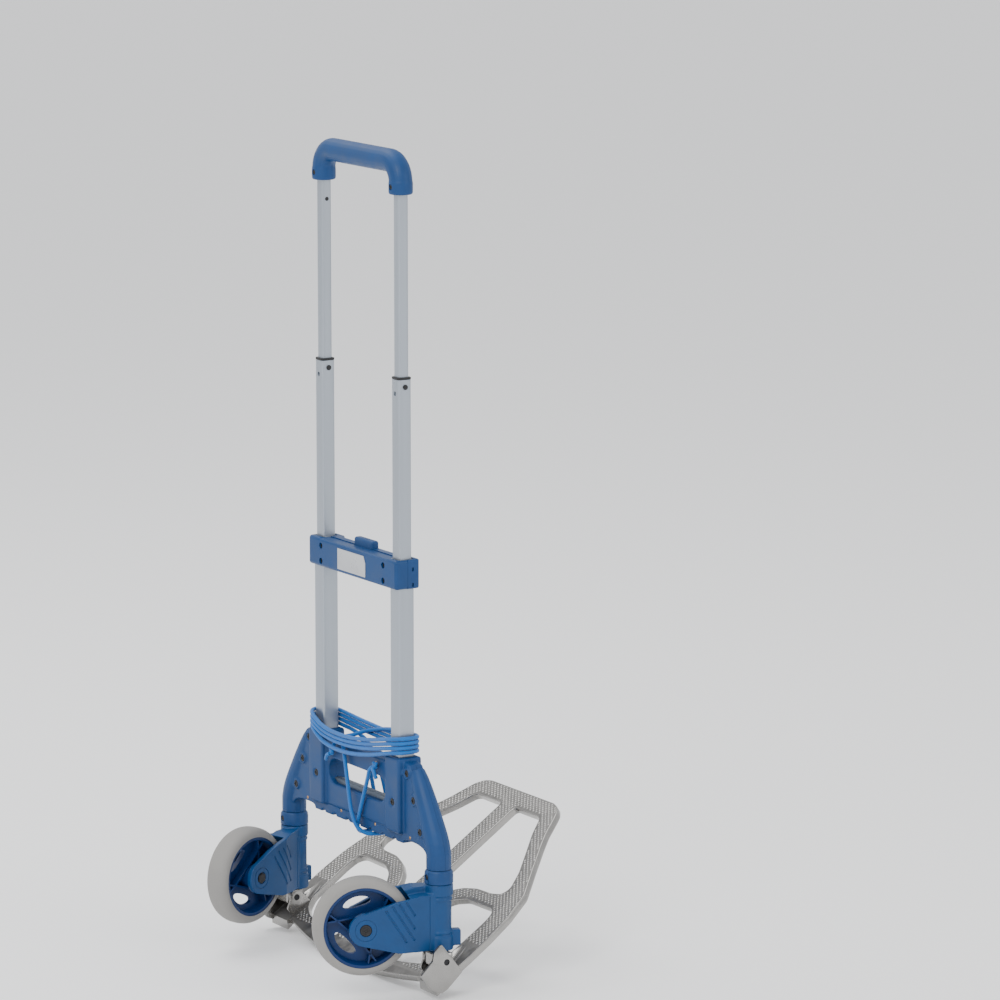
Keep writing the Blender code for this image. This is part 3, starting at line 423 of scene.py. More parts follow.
def grain_group():
    """Fine grain and slow mottling on object coordinates, with scratches if wanted."""

    def fill(group, given):
        place = add_node(group, "TexCoord", {}).outputs["Object"]
        stretch = add_node(group, "VectorMath", {0: place, 1: given["Stretch"]}, operation="MULTIPLY")
        stretch = stretch.outputs[0]
        fine = add_node(group, "TexNoise", {"Vector": stretch, "Scale": given["Grain Scale"], "Detail": 3.0})
        slow = add_node(group, "TexNoise", {
            "Vector": stretch, "Scale": given["Mottle Scale"], "Detail": 4.0, "Roughness": 0.6,
        })
        skew = add_node(group, "Mapping", {
            "Vector": place, "Rotation": (0.5, 0.9, 0.3), "Scale": (1.0, 9.0, 0.6),
        })
        marks = add_node(group, "TexNoise", {"Vector": skew.outputs["Vector"], "Scale": 160.0, "Detail": 2.0})
        line = math_node(group, "ABSOLUTE", math_node(group, "SUBTRACT", marks.outputs["Fac"], 0.5))
        line = math_node(group, "MULTIPLY", math_node(group, "LESS_THAN", line, 0.008), given["Scratches"])
        height = math_node(group, "SUBTRACT", fine.outputs["Fac"], line)
        return {"Height": height, "Mottle": slow.outputs["Fac"]}

    inputs = {"Stretch": (1.0, 1.0, 1.0), "Grain Scale": 900.0, "Mottle Scale": 30.0, "Scratches": 0.0}
    return node_group("surface_grain", inputs, {"Height": "Float", "Mottle": "Float"}, fill)


def tint_group():
    """Mottled colour and roughness between two ends."""

    def fill(group, given):
        spread = add_node(group, "MapRange", {"Value": given["Mottle"], "From Min": 0.32, "From Max": 0.68})
        factor = spread.outputs[0]
        mix = add_node(group, "Mix", {"Factor": factor, 6: given["Dark"], 7: given["Light"]}, data_type="RGBA")
        rough = add_node(group, "MapRange", {
            "Value": factor, "To Min": given["Rough Low"], "To Max": given["Rough High"],
        })
        return {"Colour": mix.outputs[2], "Roughness": rough.outputs[0]}

    inputs = {
        "Mottle": 0.5, "Dark": (0.1, 0.1, 0.1, 1.0), "Light": (0.2, 0.2, 0.2, 1.0),
        "Rough Low": 0.4, "Rough High": 0.5,
    }
    return node_group("mottled_tint", inputs, {"Colour": "Color", "Roughness": "Float"}, fill)


def braid_group():
    """A braided sheath on the piece's own map: strands that cross both ways."""

    def fill(group, given):
        place = add_node(group, "UVMap", {}, uv_map="around").outputs["UV"]
        split = add_node(group, "SeparateXYZ", {0: place}).outputs
        waves = []
        for operation in ("ADD", "SUBTRACT"):
            along = math_node(group, operation, split["X"], split["Y"])
            turns = math_node(group, "MULTIPLY", along, given["Strands"])
            turns = math_node(group, "MULTIPLY", turns, math.pi)
            waves.append(math_node(group, "ABSOLUTE", math_node(group, "SINE", turns)))
        return {"Height": math_node(group, "MAXIMUM", *waves)}

    return node_group("braided_sheath", {"Strands": 8.0}, {"Height": "Float"}, fill)


def colours():
    return bpy.context.scene.hand_truck_colours


def sizes():
    return bpy.context.scene.hand_truck_sizes


# Each finish: its slot; a colour, or a colour setting and a factor on it; the range of roughness; how far the
# colour spreads; the scale and depth of the grain; and further settings.
FINISHES = {
    "shell_plastic": ("body_blue", ("shell", 1), (0.40, 0.55), 0.10, 1400, 0.00004, {}),
    "fork_plastic": ("fork_blue", ("fork", 1), (0.36, 0.48), 0.10, 1400, 0.00003, {}),
    "rim_plastic": ("rim_blue", ("rim", 1), (0.34, 0.46), 0.10, 1400, 0.00003, {}),
    "tyre_rubber": ("tyre_grey", ("tyre", 1), (0.60, 0.78), 0.05, 1100, 0.00003, {"mottle": 18}),
    "anodised_tube": (
        "anodised_tube", ("tube", 1), (0.36, 0.46), 0.05, 500, 0.00001,
        {"metallic": 0.85, "stretch": (1.0, 1.0, 0.03), "mottle": 60, "strength": 0.3},
    ),
    "cast_top": (
        "cast_plate", ("cast", 0.62), (0.40, 0.60), 0.22, 700, 0.00010, {"metallic": 0.9, "mottle": 90},
    ),
    "cast_polished": (
        "cast_plate", ("cast", 1.15), (0.14, 0.30), 0.08, 260, 0.00002,
        {"metallic": 1.0, "mottle": 40, "scratches": 0.5},
    ),
    # The studs' colour is the cast lightened 1.75 times: a painted highlight standing in for the glints on the
    # studs.
    "cast_stud": (
        "cast_plate", ("cast", 1.75), (0.22, 0.36), 0.12, 500, 0.00002, {"metallic": 0.95, "mottle": 220},
    ),
    "strut_film": ("anodised_tube", (0.11, 0.135, 0.17), (0.42, 0.55), 0.10, 500, 0.00002, {"metallic": 0.6}),
    "zinc_steel": ("pin_steel", (0.26, 0.255, 0.25), (0.26, 0.42), 0.12, 600, 0.00002, {"metallic": 1.0}),
    "black_steel": (
        "black_fastener", (0.022, 0.022, 0.024), (0.34, 0.48), 0.2, 600, 0.00002, {"metallic": 0.4},
    ),
    "black_plastic": ("black_plastic", (0.016, 0.016, 0.017), (0.42, 0.58), 0.2, 900, 0.00003, {}),
    "brass_screw": ("pin_steel", (0.42, 0.27, 0.15), (0.30, 0.45), 0.15, 600, 0.00002, {"metallic": 1.0}),
    "plate_film": ("plate_blank", (0.46, 0.47, 0.49), (0.26, 0.34), 0.04, 300, 0.00001, {"metallic": 0.25}),
    "cord_sheath": ("cord_blue", ("cord", 1), (0.50, 0.62), 0.10, 2200, 0.00002, {"braid": True}),
}


def material(name):
    """A finish as a material with grain, mottled colour and mottled roughness, made on first use."""
    found = bpy.data.materials.get(f"truck_{name}")
    if found:
        return found
    _, colour, rough, spread, grain, depth, more = FINISHES[name]
    if isinstance(colour[0], str):
        colour = [c * colour[1] for c in getattr(colours(), colour[0])]
    made = bpy.data.materials.new(f"truck_{name}")
    made.use_nodes = True
    tree = made.node_tree
    shader = tree.nodes["Principled BSDF"]
    surface = add_node(tree, "Group", {}, node_tree=grain_group())
    feed(tree, surface, {
        "Stretch": more.get("stretch", (1.0, 1.0, 1.0)), "Grain Scale": grain,
        "Mottle Scale": more.get("mottle", 30.0), "Scratches": more.get("scratches", 0.0),
    })
    tint = add_node(tree, "Group", {}, node_tree=tint_group())
    feed(tree, tint, {
        "Mottle": surface.outputs["Mottle"], "Rough Low": rough[0], "Rough High": rough[1],
        "Dark": (*[c * (1 - spread) for c in colour], 1),
        "Light": (*[min(c * (1 + spread), 1) for c in colour], 1),
    })
    bump = add_node(tree, "Bump", {
        "Strength": more.get("strength", 0.5), "Distance": depth, "Height": surface.outputs["Height"],
    })
    feed(tree, shader, {
        "Metallic": more.get("metallic", 0.0), "Specular IOR Level": 0.3, "Normal": bump.outputs["Normal"],
        "Base Color": tint.outputs["Colour"], "Roughness": tint.outputs["Roughness"],
    })
    if "braid" in more:
        add_braid_and_gap_shade(tree, shader, tint.outputs["Colour"])
    return made


def add_braid_and_gap_shade(tree, shader, colour):
    """The cord's braid over its blue, darker between the strands."""
    height = add_node(tree, "Group", {}, node_tree=braid_group()).outputs["Height"]
    bump = add_node(tree, "Bump", {"Strength": 0.6, "Distance": 0.00025, "Height": height})
    # Painted shade: the blue is multiplied down to 0.55 in the low gaps between the strands.
    painted_gap_shade = add_node(tree, "MapRange", {"To Min": 0.55, "Value": height}).outputs[0]
    shade = add_node(tree, "Mix", {}, data_type="RGBA", blend_type="MULTIPLY")
    feed(tree, shade, {"Factor": 1.0, 6: colour, 7: painted_gap_shade})
    feed(tree, shader, {
        "Sheen Weight": 0.15, "Normal": bump.outputs["Normal"], "Base Color": shade.outputs[2],
    })


# ---------------------------------------------------------------- uprights


TUBE_WALL = 0.0018


def build_uprights():
    """The three tubes of each upright with their snap holes, and the black end rings."""
    stages = (
        ("outer_tube", OUTER_TUBE, "frame"), ("middle_tube", MIDDLE_TUBE, "middle_stage"),
        ("inner_tube", INNER_TUBE, "inner_stage"),
    )
    for side, sign in SIDES:
        x = sign * TUBE_X
        for kind, size, body in stages:
            node = f"{kind}_{side}"
            low, high = (corner.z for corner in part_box(node))
            tube = post(x, size / 2, 0.0034, low, high)
            cut(tube, post(x, size / 2 - TUBE_WALL, 0.002, low - 0.01, high + 0.01))
            if kind == "middle_tube":
                cut(tube, drill(x, high - 0.0185, 0.0030, -0.02, -0.004))
            settle(tube, f"{node}_drawn", body, "anodised_tube", [node], 30)
        ring = post(x, MIDDLE_TUBE / 2 + 0.0004, 0.0036, MIDDLE_TOP + GAP, MIDDLE_TOP + 0.0034)
        bevelled(ring, 0.0008, 2, lambda a, b: abs(a.z - b.z) < 0.0001)
        cut(ring, post(x, INNER_TUBE / 2 + GAP, 0.0035, 0.79, 0.82))
        settle(ring, f"end_ring_{side}", "middle_stage", "black_plastic", [f"stage_collar_{side}"], 40)
        low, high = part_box(f"collar_stud_{side}")
        stud = turned([(0, 0), (0.0035, 0), (0.0035, 0.0009), (0.0027, 0.0013), (0, 0.0013)], 24)
        moved(stud, Matrix.Translation((low.x, 0, (low.z + high.z) / 2)))
        settle(stud, f"snap_stud_{side}", "middle_stage", "black_plastic", [f"collar_stud_{side}"], 40)
    plug = turned([(0, 0), (0.0028, 0), (0.0028, 0.0002), (0.0023, 0.0003), (0, 0.0003)], 20)
    moved(plug, Matrix.Translation((-TUBE_X + INNER_TUBE / 2, 0, 1.0195)))
    settle(plug, "tube_plug_left", "inner_stage", "black_plastic", angle=40)


# ---------------------------------------------------------------- screws


def pan_head(radius, height):
    """A pan-head screw with a cross recess, its head facing +X from the origin."""
    profile = [(0, -0.0006), (radius, -0.0006), (radius, height * 0.45), (radius * 0.86, height * 0.85)]
    head = turned(profile + [(radius * 0.6, height), (0, height)], 24)
    arm, slot = radius * 0.55, radius * 0.16
    return cut(head, *[
        block((height * 0.35, -across, -up), (height * 2, across, up))
        for across, up in ((arm, slot), (slot, arm))
    ])


def place_screws(radius, height, stem, body, spots, finish="black_steel"):
    """One screw at each spot, facing the wheel side; a spot names the CAD screw it stands for, if any."""
    master = pan_head(radius, height)
    turn = Vector((1, 0, 0)).rotation_difference(Vector((0, -1, 0))).to_matrix().to_4x4()
    for name, spot, replaced in spots:
        screw = copied(master, Matrix.Translation(spot) @ turn)
        settle(screw, f"{stem}_{name}", body, finish, [replaced] if replaced else [], 35)
    bpy.data.objects.remove(master)


def build_screws():
    """Screws of the shells, the collars, the grip and the lower edge."""
    base = [
        (f"{side}_{k + 1}", (sign * x, y, z), f"base_screw_{side}" if k == 2 else None)
        for side, sign in SIDES for k, (x, z, y) in enumerate(BASE_SCREWS)
    ]
    place_screws(0.0048, 0.0016, "base_screw", "frame", base)
    crossbar = [
        (f"{level}_{side}", (sign * CROSSBAR_SCREW_X, -0.0152, z), f"crossbar_screw_{level}_{side}")
        for side, sign in SIDES for level, z in CROSSBAR_SCREWS
    ]
    place_screws(0.0042, 0.0014, "bar_screw", "frame", crossbar)
    collar_z = (COLLAR_BOTTOM + COLLAR_TOP) / 2
    clamp = [(side, (sign * LEG_X, -0.0172, collar_z), f"collar_screw_{side}") for side, sign in SIDES]
    place_screws(0.0031, 0.0012, "clamp_screw", "frame", clamp)
    grip = [
        (side, (sign * TUBE_X, -0.0142, HANDLE_BOTTOM + 0.010), f"handle_screw_{side}") for side, sign in SIDES
    ]
    place_screws(0.0031, 0.0012, "grip_screw", "inner_stage", grip)
    small = [
        (f"{stem}_{k + 1}", (x, y, z), None)
        for stem, across, y, z in (
            ("flange", (-0.136, -0.045, 0.045, 0.136), FLANGE_Y - 0.0002, 0.1995),
            ("web", (-0.004, 0.052), -BASE_HALF_DEPTH + 0.0006, 0.2850),
        )
        for k, x in enumerate(across)
    ]
    place_screws(0.0022, 0.0009, "small_screw", "frame", small, "brass_screw")


# ---------------------------------------------------------------- handle


def build_handle():
    """The round grip: a bar bent down at both ends into two sockets."""
    corner_z = HANDLE_TOP - GRIP_RADIUS - GRIP_CORNER - 0.0008
    bend = arc((TUBE_X - GRIP_CORNER, corner_z), GRIP_CORNER, 0, 90, 12)
    half = [(TUBE_X, HANDLE_BOTTOM + 0.0145)] + bend
    path = half + [(-x, z) for x, z in reversed(half)]
    grip = bar([(x, 0, z) for x, z in path], [GRIP_RADIUS] * len(path), 32)
    parts = [grip]
    for _, sign in SIDES:
        profile = [(0, 0), (0.0142, 0), (0.0155, 0.0010), (0.0160, 0.0030), (0.0160, 0.0150)]
        profile += [(0.0156, 0.0170), (0.0150, 0.0185), (0, 0.0185)]
        parts.append(moved(turned(profile, 40), standing(sign * TUBE_X, HANDLE_BOTTOM)))
    grip = moulded(joined(*parts), 0.0011, 4)
    for _, sign in SIDES:
        x = sign * TUBE_X
        cut(grip, drill(x, HANDLE_BOTTOM + 0.010, 0.0040, -0.03, -0.0142))
        cut(grip, post(x, INNER_TUBE / 2 + GAP, 0.0035, HANDLE_BOTTOM - 0.01, HANDLE_BOTTOM + 0.006))
    settle(grip, "moulded_grip", "inner_stage", "shell_plastic", ["handle_grip"], 40)


# ---------------------------------------------------------------- crossbar


CROSSBAR_SCREW_X = 0.082
CROSSBAR_SCREWS = (("upper", 0.556), ("lower", 0.5355))


def build_crossbar():
    """The two clamped shells, with raised ends and a recess for the plate, and the button."""
    depth, length = CROSSBAR_HALF_DEPTH, CROSSBAR_HALF_LENGTH
    low, top = CROSSBAR_BOTTOM, CROSSBAR_TOP
    rear = block((-length, -depth, low), (length, -GAP / 2, top - 0.0012))
    bevelled(
        rear, 0.0038, 4,
        lambda a, b: min(a.y, b.y) < -depth + 0.001 or abs(a.x - b.x) < 0.001 and abs(a.y - b.y) < 0.001,
    )
    ends = []
    for _, sign in SIDES:
        near, far = sorted((sign * 0.086, sign * length))
        end = block((near, -depth, low), (far, -GAP / 2, top))
        bevelled(end, 0.0040, 4, lambda a, b: not (a.y > -0.001 and b.y > -0.001))
        ends.append(end)
    rear = cut(rear, *ends, operation="UNION")
    plan = [(-length, GAP / 2), (length, GAP / 2)] + arc((length - 0.004, depth - 0.004), 0.004, 0, 90, 4)
    plan += arc((0.083, depth - 0.004), 0.004, 90, 160, 4) + [(0.0745, 0.0125), (0.0715, 0.012)]
    plan += [(-x, y) for x, y in reversed(plan[2:])]
    front = outlined(plan, low, top, from_above)
    bevelled(front, 0.0022, 3, lambda a, b: abs(a.z - b.z) < 0.0001 and max(a.y, b.y) > 0.002)
    pocket_x = BUTTON_SIZE[0] / 2 + GAP
    pocket_y = BUTTON_SIZE[1] / 2 + GAP
    for shell in (rear, front):
        pocket = block(
            (-pocket_x, BUTTON_Y - pocket_y, low + 0.006), (pocket_x, BUTTON_Y + pocket_y, top + 0.01)
        )
        channel = block((-0.089, -0.0038, 0.5405), (0.089, 0.0038, 0.5475))
        cut(shell, pocket, channel)
        for _, sign in SIDES:
            cut(shell, post(sign * TUBE_X, OUTER_TUBE / 2 + GAP, 0.0036, low - 0.01, top + 0.01))
    for _, sign in SIDES:
        for _, z in CROSSBAR_SCREWS:
            cut(rear, drill(sign * CROSSBAR_SCREW_X, z, 0.0043, -0.03, -0.0150))
            slot_x = sign * length
            cut(front, block((slot_x - 0.002, 0.0062, z - 0.0052), (slot_x + 0.002, 0.0092, z - 0.0002)))
    recess = block((-0.0378, -0.03, 0.5312), (0.0378, -depth + GAP * 0.2, 0.5612))
    cut(rear, recess)
    settle(rear, "crossbar_back", "frame", "shell_plastic", ["crossbar_rear_shell"], 35)
    settle(front, "crossbar_face", "frame", "shell_plastic", ["crossbar_front_shell"], 35)
    build_button()
    plate_outline = [(-0.0365, 0.5322), (0.0365, 0.5322), (0.0365, 0.5512), (0.0318, 0.5602), (-0.0365, 0.5602)]
    plate = outlined(plate_outline, -depth - 0.0006, -depth, from_front)
    edit(plate, "FACE", lambda centre, normal: normal.y < -0.9)
    bpy.ops.mesh.inset(thickness=0.0012, depth=0.0)
    bpy.ops.mesh.inset(thickness=0.0002, depth=-0.0001)
    leave()
    settle(plate, "blank_plate", "frame", "plate_film", ["data_plate"], 30)


def build_button():
    """The release button, with a soft crown and three grip grooves."""
    width, depth, height = BUTTON_SIZE
    top = CROSSBAR_TOP + BUTTON_RISE
    button = block((-width / 2, BUTTON_Y - depth / 2, top - height), (width / 2, BUTTON_Y + depth / 2, top))
    bevelled(button, 0.0034, 5, lambda a, b: max(a.z, b.z) > top - 0.0001)
    grooves = [
        block((x - 0.0006, BUTTON_Y - 0.004, top - 0.0005), (x + 0.0006, BUTTON_Y + 0.004, top + 0.002))
        for x in (-0.006, 0.0, 0.006)
    ]
    cut(button, *grooves)
    settle(button, "button_cap", "release_button", "shell_plastic", ["release_button"], 35)


# ---------------------------------------------------------------- base

FLANGE_Y = -0.0098
BASE_SCREWS = (
    (0.1010, 0.2420, -0.0158), (0.1470, 0.2520, -0.0112), (0.1645, 0.2130, -0.0118), (0.1300, 0.2850, -0.0108),
)


def wing_outline():
    """The moulding's outline from the front."""
    right = [(0.118, BASE_TOP + 0.006), (0.134, 0.296), (0.147, 0.279), (0.161, 0.258), (0.178, 0.228)]
    right += [(0.191, 0.205), (0.196, 0.190), (0.176, 0.185), (0.1725, 0.1885), (0.167, 0.1915)]
    right += [(0.158, 0.1935), (0.146, 0.1945), (0.133, 0.1945), (0.124, 0.1940), (0.1185, 0.1925)]
    right += [(0.1165, BASE_BOTTOM), (0.106, BASE_BOTTOM)]
    scallops = []
    for x in (0.094, 0.064, 0.030, 0.000, -0.030, -0.064, -0.094):
        scallops += [(x + 0.0050, BASE_BOTTOM), (x + 0.0030, BASE_BOTTOM + 0.0035)]
        scallops += [(x - 0.0030, BASE_BOTTOM + 0.0035), (x - 0.0050, BASE_BOTTOM)]
    mirrored = [(-x, z) for x, z in reversed(right)]
    dip = [(-0.080, BASE_TOP + 0.004), (-0.070, BASE_TOP), (0.070, BASE_TOP), (0.080, BASE_TOP + 0.004)]
    return right + scallops + mirrored + dip


def build_base():
    """The moulding between uprights and legs, in two shells parted along the middle."""
    solid = outlined(wing_outline(), -BASE_HALF_DEPTH + 0.0022, BASE_HALF_DEPTH - 0.0022, from_front)
    web_top = BASE_TOP - 0.0015
    web = outlined(
        [(-0.083, 0.2035), (0.083, 0.2035), (0.083, web_top), (-0.083, web_top)],
        -BASE_HALF_DEPTH, BASE_HALF_DEPTH, from_front,
    )
    parts = [web]
    for _, sign in SIDES:
        centre = sign * (TUBE_X + 0.001)
        low, high = (centre - 0.019, -BOX_HALF_DEPTH, 0.201), (centre + 0.019, BOX_HALF_DEPTH, BOX_TOP)
        parts.append(block(low, high, 0.0032, 2))
        spine = [(LEG_X, COLLAR_TOP + GAP), (LEG_X, 0.188), (0.1892, 0.1985), (0.1845, 0.2090)]
        spine += [(0.1775, 0.2220), (0.1690, 0.2370), (0.1605, 0.2515), (0.1520, 0.2660)]
        spine += [(0.1445, 0.2790), (0.1380, 0.2890)]
        radii = [0.0168, 0.0168, 0.0168, 0.0166, 0.0160, 0.0152, 0.0145, 0.0134, 0.0118, 0.0098]
        parts.append(bar([(sign * u, 0, v) for u, v in spine], radii, 28))
        for x, z, _ in BASE_SCREWS[1:]:
            boss = turned([(0, 0), (0.0082, 0), (0.0074, 0.0130), (0, 0.0130)], 28)
            facing = Matrix.Translation((sign * x, 0, z)) @ Matrix.Rotation(math.radians(-90), 4, "Z")
            parts.append(moved(boss, facing))
    solid = cut(solid, *parts, operation="UNION")
    slot = [(u, SLOT_Z + v) for u, v in stadium(SLOT_HALF_LENGTH, SLOT_RADIUS, 14)]
    cut(solid, outlined(slot, -0.03, 0.03, from_front))
    for _, sign in SIDES:
        for x, z, seat in BASE_SCREWS:
            cut(solid, drill(sign * x, z, 0.0059, -0.04, seat))
        cut(solid, moved(rod(0.0083, 0, 0.03, 24), standing(sign * LEG_X, 0.170)))
    moulded(solid, sizes().shell_voxel, 4)
    front = copied(solid)
    for shell, keep_rear in ((solid, True), (front, False)):
        edit(shell)
        bpy.ops.mesh.bisect(
            plane_co=(0, -GAP / 2 if keep_rear else GAP / 2, 0), plane_no=(0, 1, 0), use_fill=True,
            clear_outer=keep_rear, clear_inner=not keep_rear,
        )
        leave()
        rooms = [post(sign * TUBE_X, OUTER_TUBE / 2 + GAP, 0.0036, 0.200 - GAP, 0.40) for _, sign in SIDES]
        cut(shell, *rooms)
    settle(solid, "base_back_moulding", "frame", "shell_plastic", ["base_rear_shell"], 40)
    settle(front, "base_face_moulding", "frame", "shell_plastic", ["base_front_shell"], 40)
    low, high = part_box("cross_strut")
    strut = block(low, high, 0.0012, 3)
    settle(strut, "cross_strut_bar", "frame", "strut_film", ["cross_strut"], 35, shift=False)


def build_collars():
    """The clamp collar under each leg, with a step and a parting seam."""
    height = COLLAR_TOP - COLLAR_BOTTOM
    inner, outer = LEG_PIN_RADIUS + GAP, COLLAR_RADIUS
    profile = [(inner, 0), (outer - 0.0008, 0), (outer, 0.0008), (outer, height - 0.0062)]
    profile += [(outer - 0.0004, height - 0.0056), (outer - 0.0004, height - 0.0030)]
    profile += [(outer - 0.0016, height - 0.0010), (outer - 0.0026, height), (inner, height)]
    collar = turned(profile, 56)
    moved(collar, standing(LEG_X, COLLAR_BOTTOM))
    cut(collar, drill(LEG_X, (COLLAR_BOTTOM + COLLAR_TOP) / 2, 0.0040, -0.03, -0.0166))
    seam = block((LEG_X + 0.004, -0.03, COLLAR_BOTTOM - 0.01), (LEG_X + 0.0046, -0.0172, COLLAR_TOP + 0.01))
    cut(collar, seam)
    other = copied(collar, MIRROR)
    settle(collar, "clamp_collar_right", "frame", "shell_plastic", ["leg_collar_right"], 35)
    settle(other, "clamp_collar_left", "frame", "shell_plastic", ["leg_collar_left"], 35)


# ---------------------------------------------------------------- forks and wheels


def arm_matrix(reach=0.0, z=0.0):
    """From the right fork's own axes, arm along -Y and wheel axis along X, to the truck's."""
    turn = Matrix.Translation((LEG_X, 0, 0)) @ Matrix.Rotation(-FORK_SWING, 4, "Z")
    return turn @ Matrix.Translation((0, -reach, z))


def fork_side(u, v, w):
    """Outlines drawn on a fork's side: u along the arm, v up, w across."""
    return (w, -u, v)


def cheek_width(u):
    """Half the fork's width at a distance along its arm."""
    return min(FORK_HALF_WIDTH, 0.0145 + (u - 0.004) * 0.0150 / 0.048)


def build_forks():
    """Each fork: a sleeve with rings, two teardrop cheeks with grooves, and a lug."""
    ends = arc((FORK_REACH, WHEEL_Z), FORK_END_RADIUS, -80, 62, 18)
    outline = [(-0.0055, FORK_BOTTOM + 0.002), (0.030, FORK_BOTTOM + 0.0022), (0.060, FORK_BOTTOM + 0.0035)]
    outline += [(0.082, FORK_BOTTOM + 0.0090)] + ends
    outline += [(0.098, 0.1240), (0.082, 0.1320), (0.062, 0.1390), (0.035, 0.1460), (-0.0055, 0.1485)]
    body = outlined(outline, -FORK_HALF_WIDTH, FORK_HALF_WIDTH, fork_side)
    for k in (-1, 1):
        taper = [(-0.03, k * 0.05), (0.052, k * 0.05), (0.052, k * 0.0295), (0.004, k * 0.0145)]
        taper.append((-0.03, k * 0.0145))
        cut(body, outlined(taper, FORK_BOTTOM - 0.02, FORK_TOP + 0.02, lambda u, v, w: (v, -u, w)))
    outer_edge = [(-0.02, 0.1400), (0.030, 0.1380), (0.062, 0.1325), (0.082, 0.1262), (0.100, 0.1203)]
    outer_edge += [(0.14, 0.1203), (0.14, 0.17), (-0.02, 0.17)]
    cut(body, outlined(outer_edge, 0.004, 0.05, fork_side))
    height = FORK_TOP - FORK_BOTTOM
    full, ring, neck = FORK_RADIUS, FORK_RADIUS - 0.0008, FORK_RADIUS - 0.0022
    profile = [(0, 0), (full - 0.0006, 0), (full, 0.0006), (full, 0.0185), (neck, 0.0200)]
    profile += [(neck, 0.0222), (ring, 0.0232), (ring, 0.0250), (neck, 0.0262)]
    profile += [(neck, height - 0.0220), (ring, height - 0.0208), (ring, height - 0.0190)]
    profile += [(neck, height - 0.0178), (neck, height - 0.0160), (full, height - 0.0148)]
    profile += [(full, height - 0.0006), (full - 0.0006, height), (0, height)]
    sleeve = turned(profile, 48)
    moved(sleeve, standing(0, FORK_BOTTOM))
    lug = block((-0.007, 0.0150, 0.066), (0.007, 0.0283, 0.0875), 0.0015, 2)
    cut(body, sleeve, lug, operation="UNION")
    room = arc((FORK_REACH, WHEEL_Z), TYRE_RADIUS + 0.0035, 100, 260, 28)
    room += [(0.16, WHEEL_Z - 0.08), (0.16, WHEEL_Z + 0.08)]
    cut(body, outlined(room, -FORK_INNER_HALF_WIDTH, FORK_INNER_HALF_WIDTH, fork_side))
    cut(body, moved(rod(BUSH_RADIUS + GAP, 0, 0.16, 40), standing(0, 0.03)))
    moulded(body, 0.0010, 4)
    axle = Matrix.Translation((0, -FORK_REACH, WHEEL_Z))
    cut(body, moved(rod(AXLE_RADIUS + GAP, -0.05, 0.05, 24), axle))
    for k in (-1, 1):
        low, high = k * 0.0284, k * 0.033
        ring = turned([(0.0138, low), (0.0138, high), (0.0146, high), (0.0146, low)], 40)
        cut(body, moved(ring, axle), moved(rod(0.0082, k * 0.0275, k * 0.04, 32), axle))
    tools = []
    for k in (-1, 1):
        for (u1, z1), (u2, z2) in GROOVES:
            kink = (u1 - 0.0505) / (u1 - u2)
            points = [(u1 + (u2 - u1) * t, z1 + (z2 - z1) * t) for t in (0.0, kink, 1.0) if t >= 0.0]
            line = [(k * (cheek_width(u) + 0.0005), -u, z) for u, z in points]
            tools.append(bar(line, [sizes().groove] * len(line), 12))
        seam = [(k * (cheek_width(0.0150) + 0.0003), -0.0150, z) for z in (0.0660, 0.1000, 0.1360)]
        tools.append(bar(seam, [0.0011] * 3, 10))
    cut(body, *tools)
    moved(body, arm_matrix())
    other = copied(body, MIRROR)
    settle(body, "moulded_fork_right", "fork_right", "fork_plastic", ["fork_right"], 40)
    settle(other, "moulded_fork_left", "fork_left", "fork_plastic", ["fork_left"], 40)
    build_axles()


GROOVES = (
    ((0.0757, 0.1232), (0.0480, 0.0790)),
    ((0.0670, 0.1288), (0.0365, 0.0805)),
    ((0.0577, 0.1310), (0.0360, 0.0960)),
    ((0.0483, 0.1328), (0.0360, 0.1133)),
)


def build_axles():
    """The axle bolt with a recessed socket head, and the nut on the other side."""
    seat = FORK_HALF_WIDTH - 0.0015 + GAP
    profile = [(0, -seat), (AXLE_RADIUS, -seat), (AXLE_RADIUS, seat), (0.0076, seat), (0.0076, seat + 0.0012)]
    profile += [(0.0070, seat + 0.0020), (0.0050, seat + 0.0022), (0.0044, seat + 0.0016), (0, seat + 0.0016)]
    bolt = turned(profile, 40)
    for k in range(3):
        ridge = block((seat + 0.0010, -0.0032, -0.0006), (seat + 0.004, 0.0032, 0.0006))
        cut(bolt, moved(ridge, Matrix.Rotation(math.radians(60 * k), 4, "X")))
    end = -seat - 0.0024
    nut = turned([(0, -seat), (0.0074, -seat), (0.0074, end + 0.0006), (0.0066, end), (0, end)], 6)
    for piece, name in ((bolt, "axle_bolt"), (nut, "axle_nut")):
        moved(piece, arm_matrix(FORK_REACH, WHEEL_Z))
        other = copied(piece, MIRROR)
        settle(piece, f"{name}_turned_right", "fork_right", "black_steel", [f"{name}_right"], 35)
        settle(other, f"{name}_turned_left", "fork_left", "black_steel", [f"{name}_left"], 35)


def window_tool(angle):
    """An oval cutter through the rim's web, at an angle round the axle."""
    count = 28
    outline = []
    for k in range(count):
        a = math.tau * k / count
        across, out = WINDOW_LENGTH / 2 * math.cos(a), WINDOW_WIDTH / 2 * math.sin(a)
        outline.append((across, WINDOW_RADIUS + out - across * across * 6))
    tool = outlined(outline, -0.03, 0.03, lambda u, v, w: (w, u, v))
    return moved(tool, Matrix.Rotation(angle, 4, "X"))


def rib(angle, k):
    """A bowed rib between hub and rim, under one window."""
    points = []
    for t in range(13):
        across = 0.0445 * (t / 6 - 1)
        points.append((across, 0.0168 + 1.35 * across * across))
    inner = [(a, r - 0.0011) for a, r in points]
    outer = [(a, r + 0.0011) for a, r in reversed(points)]
    low, high = (0.001, 0.0128) if k > 0 else (-0.0128, -0.001)
    wall = outlined(inner + outer, low, high, lambda u, v, w: (w, u, v))
    return moved(wall, Matrix.Rotation(angle, 4, "X"))


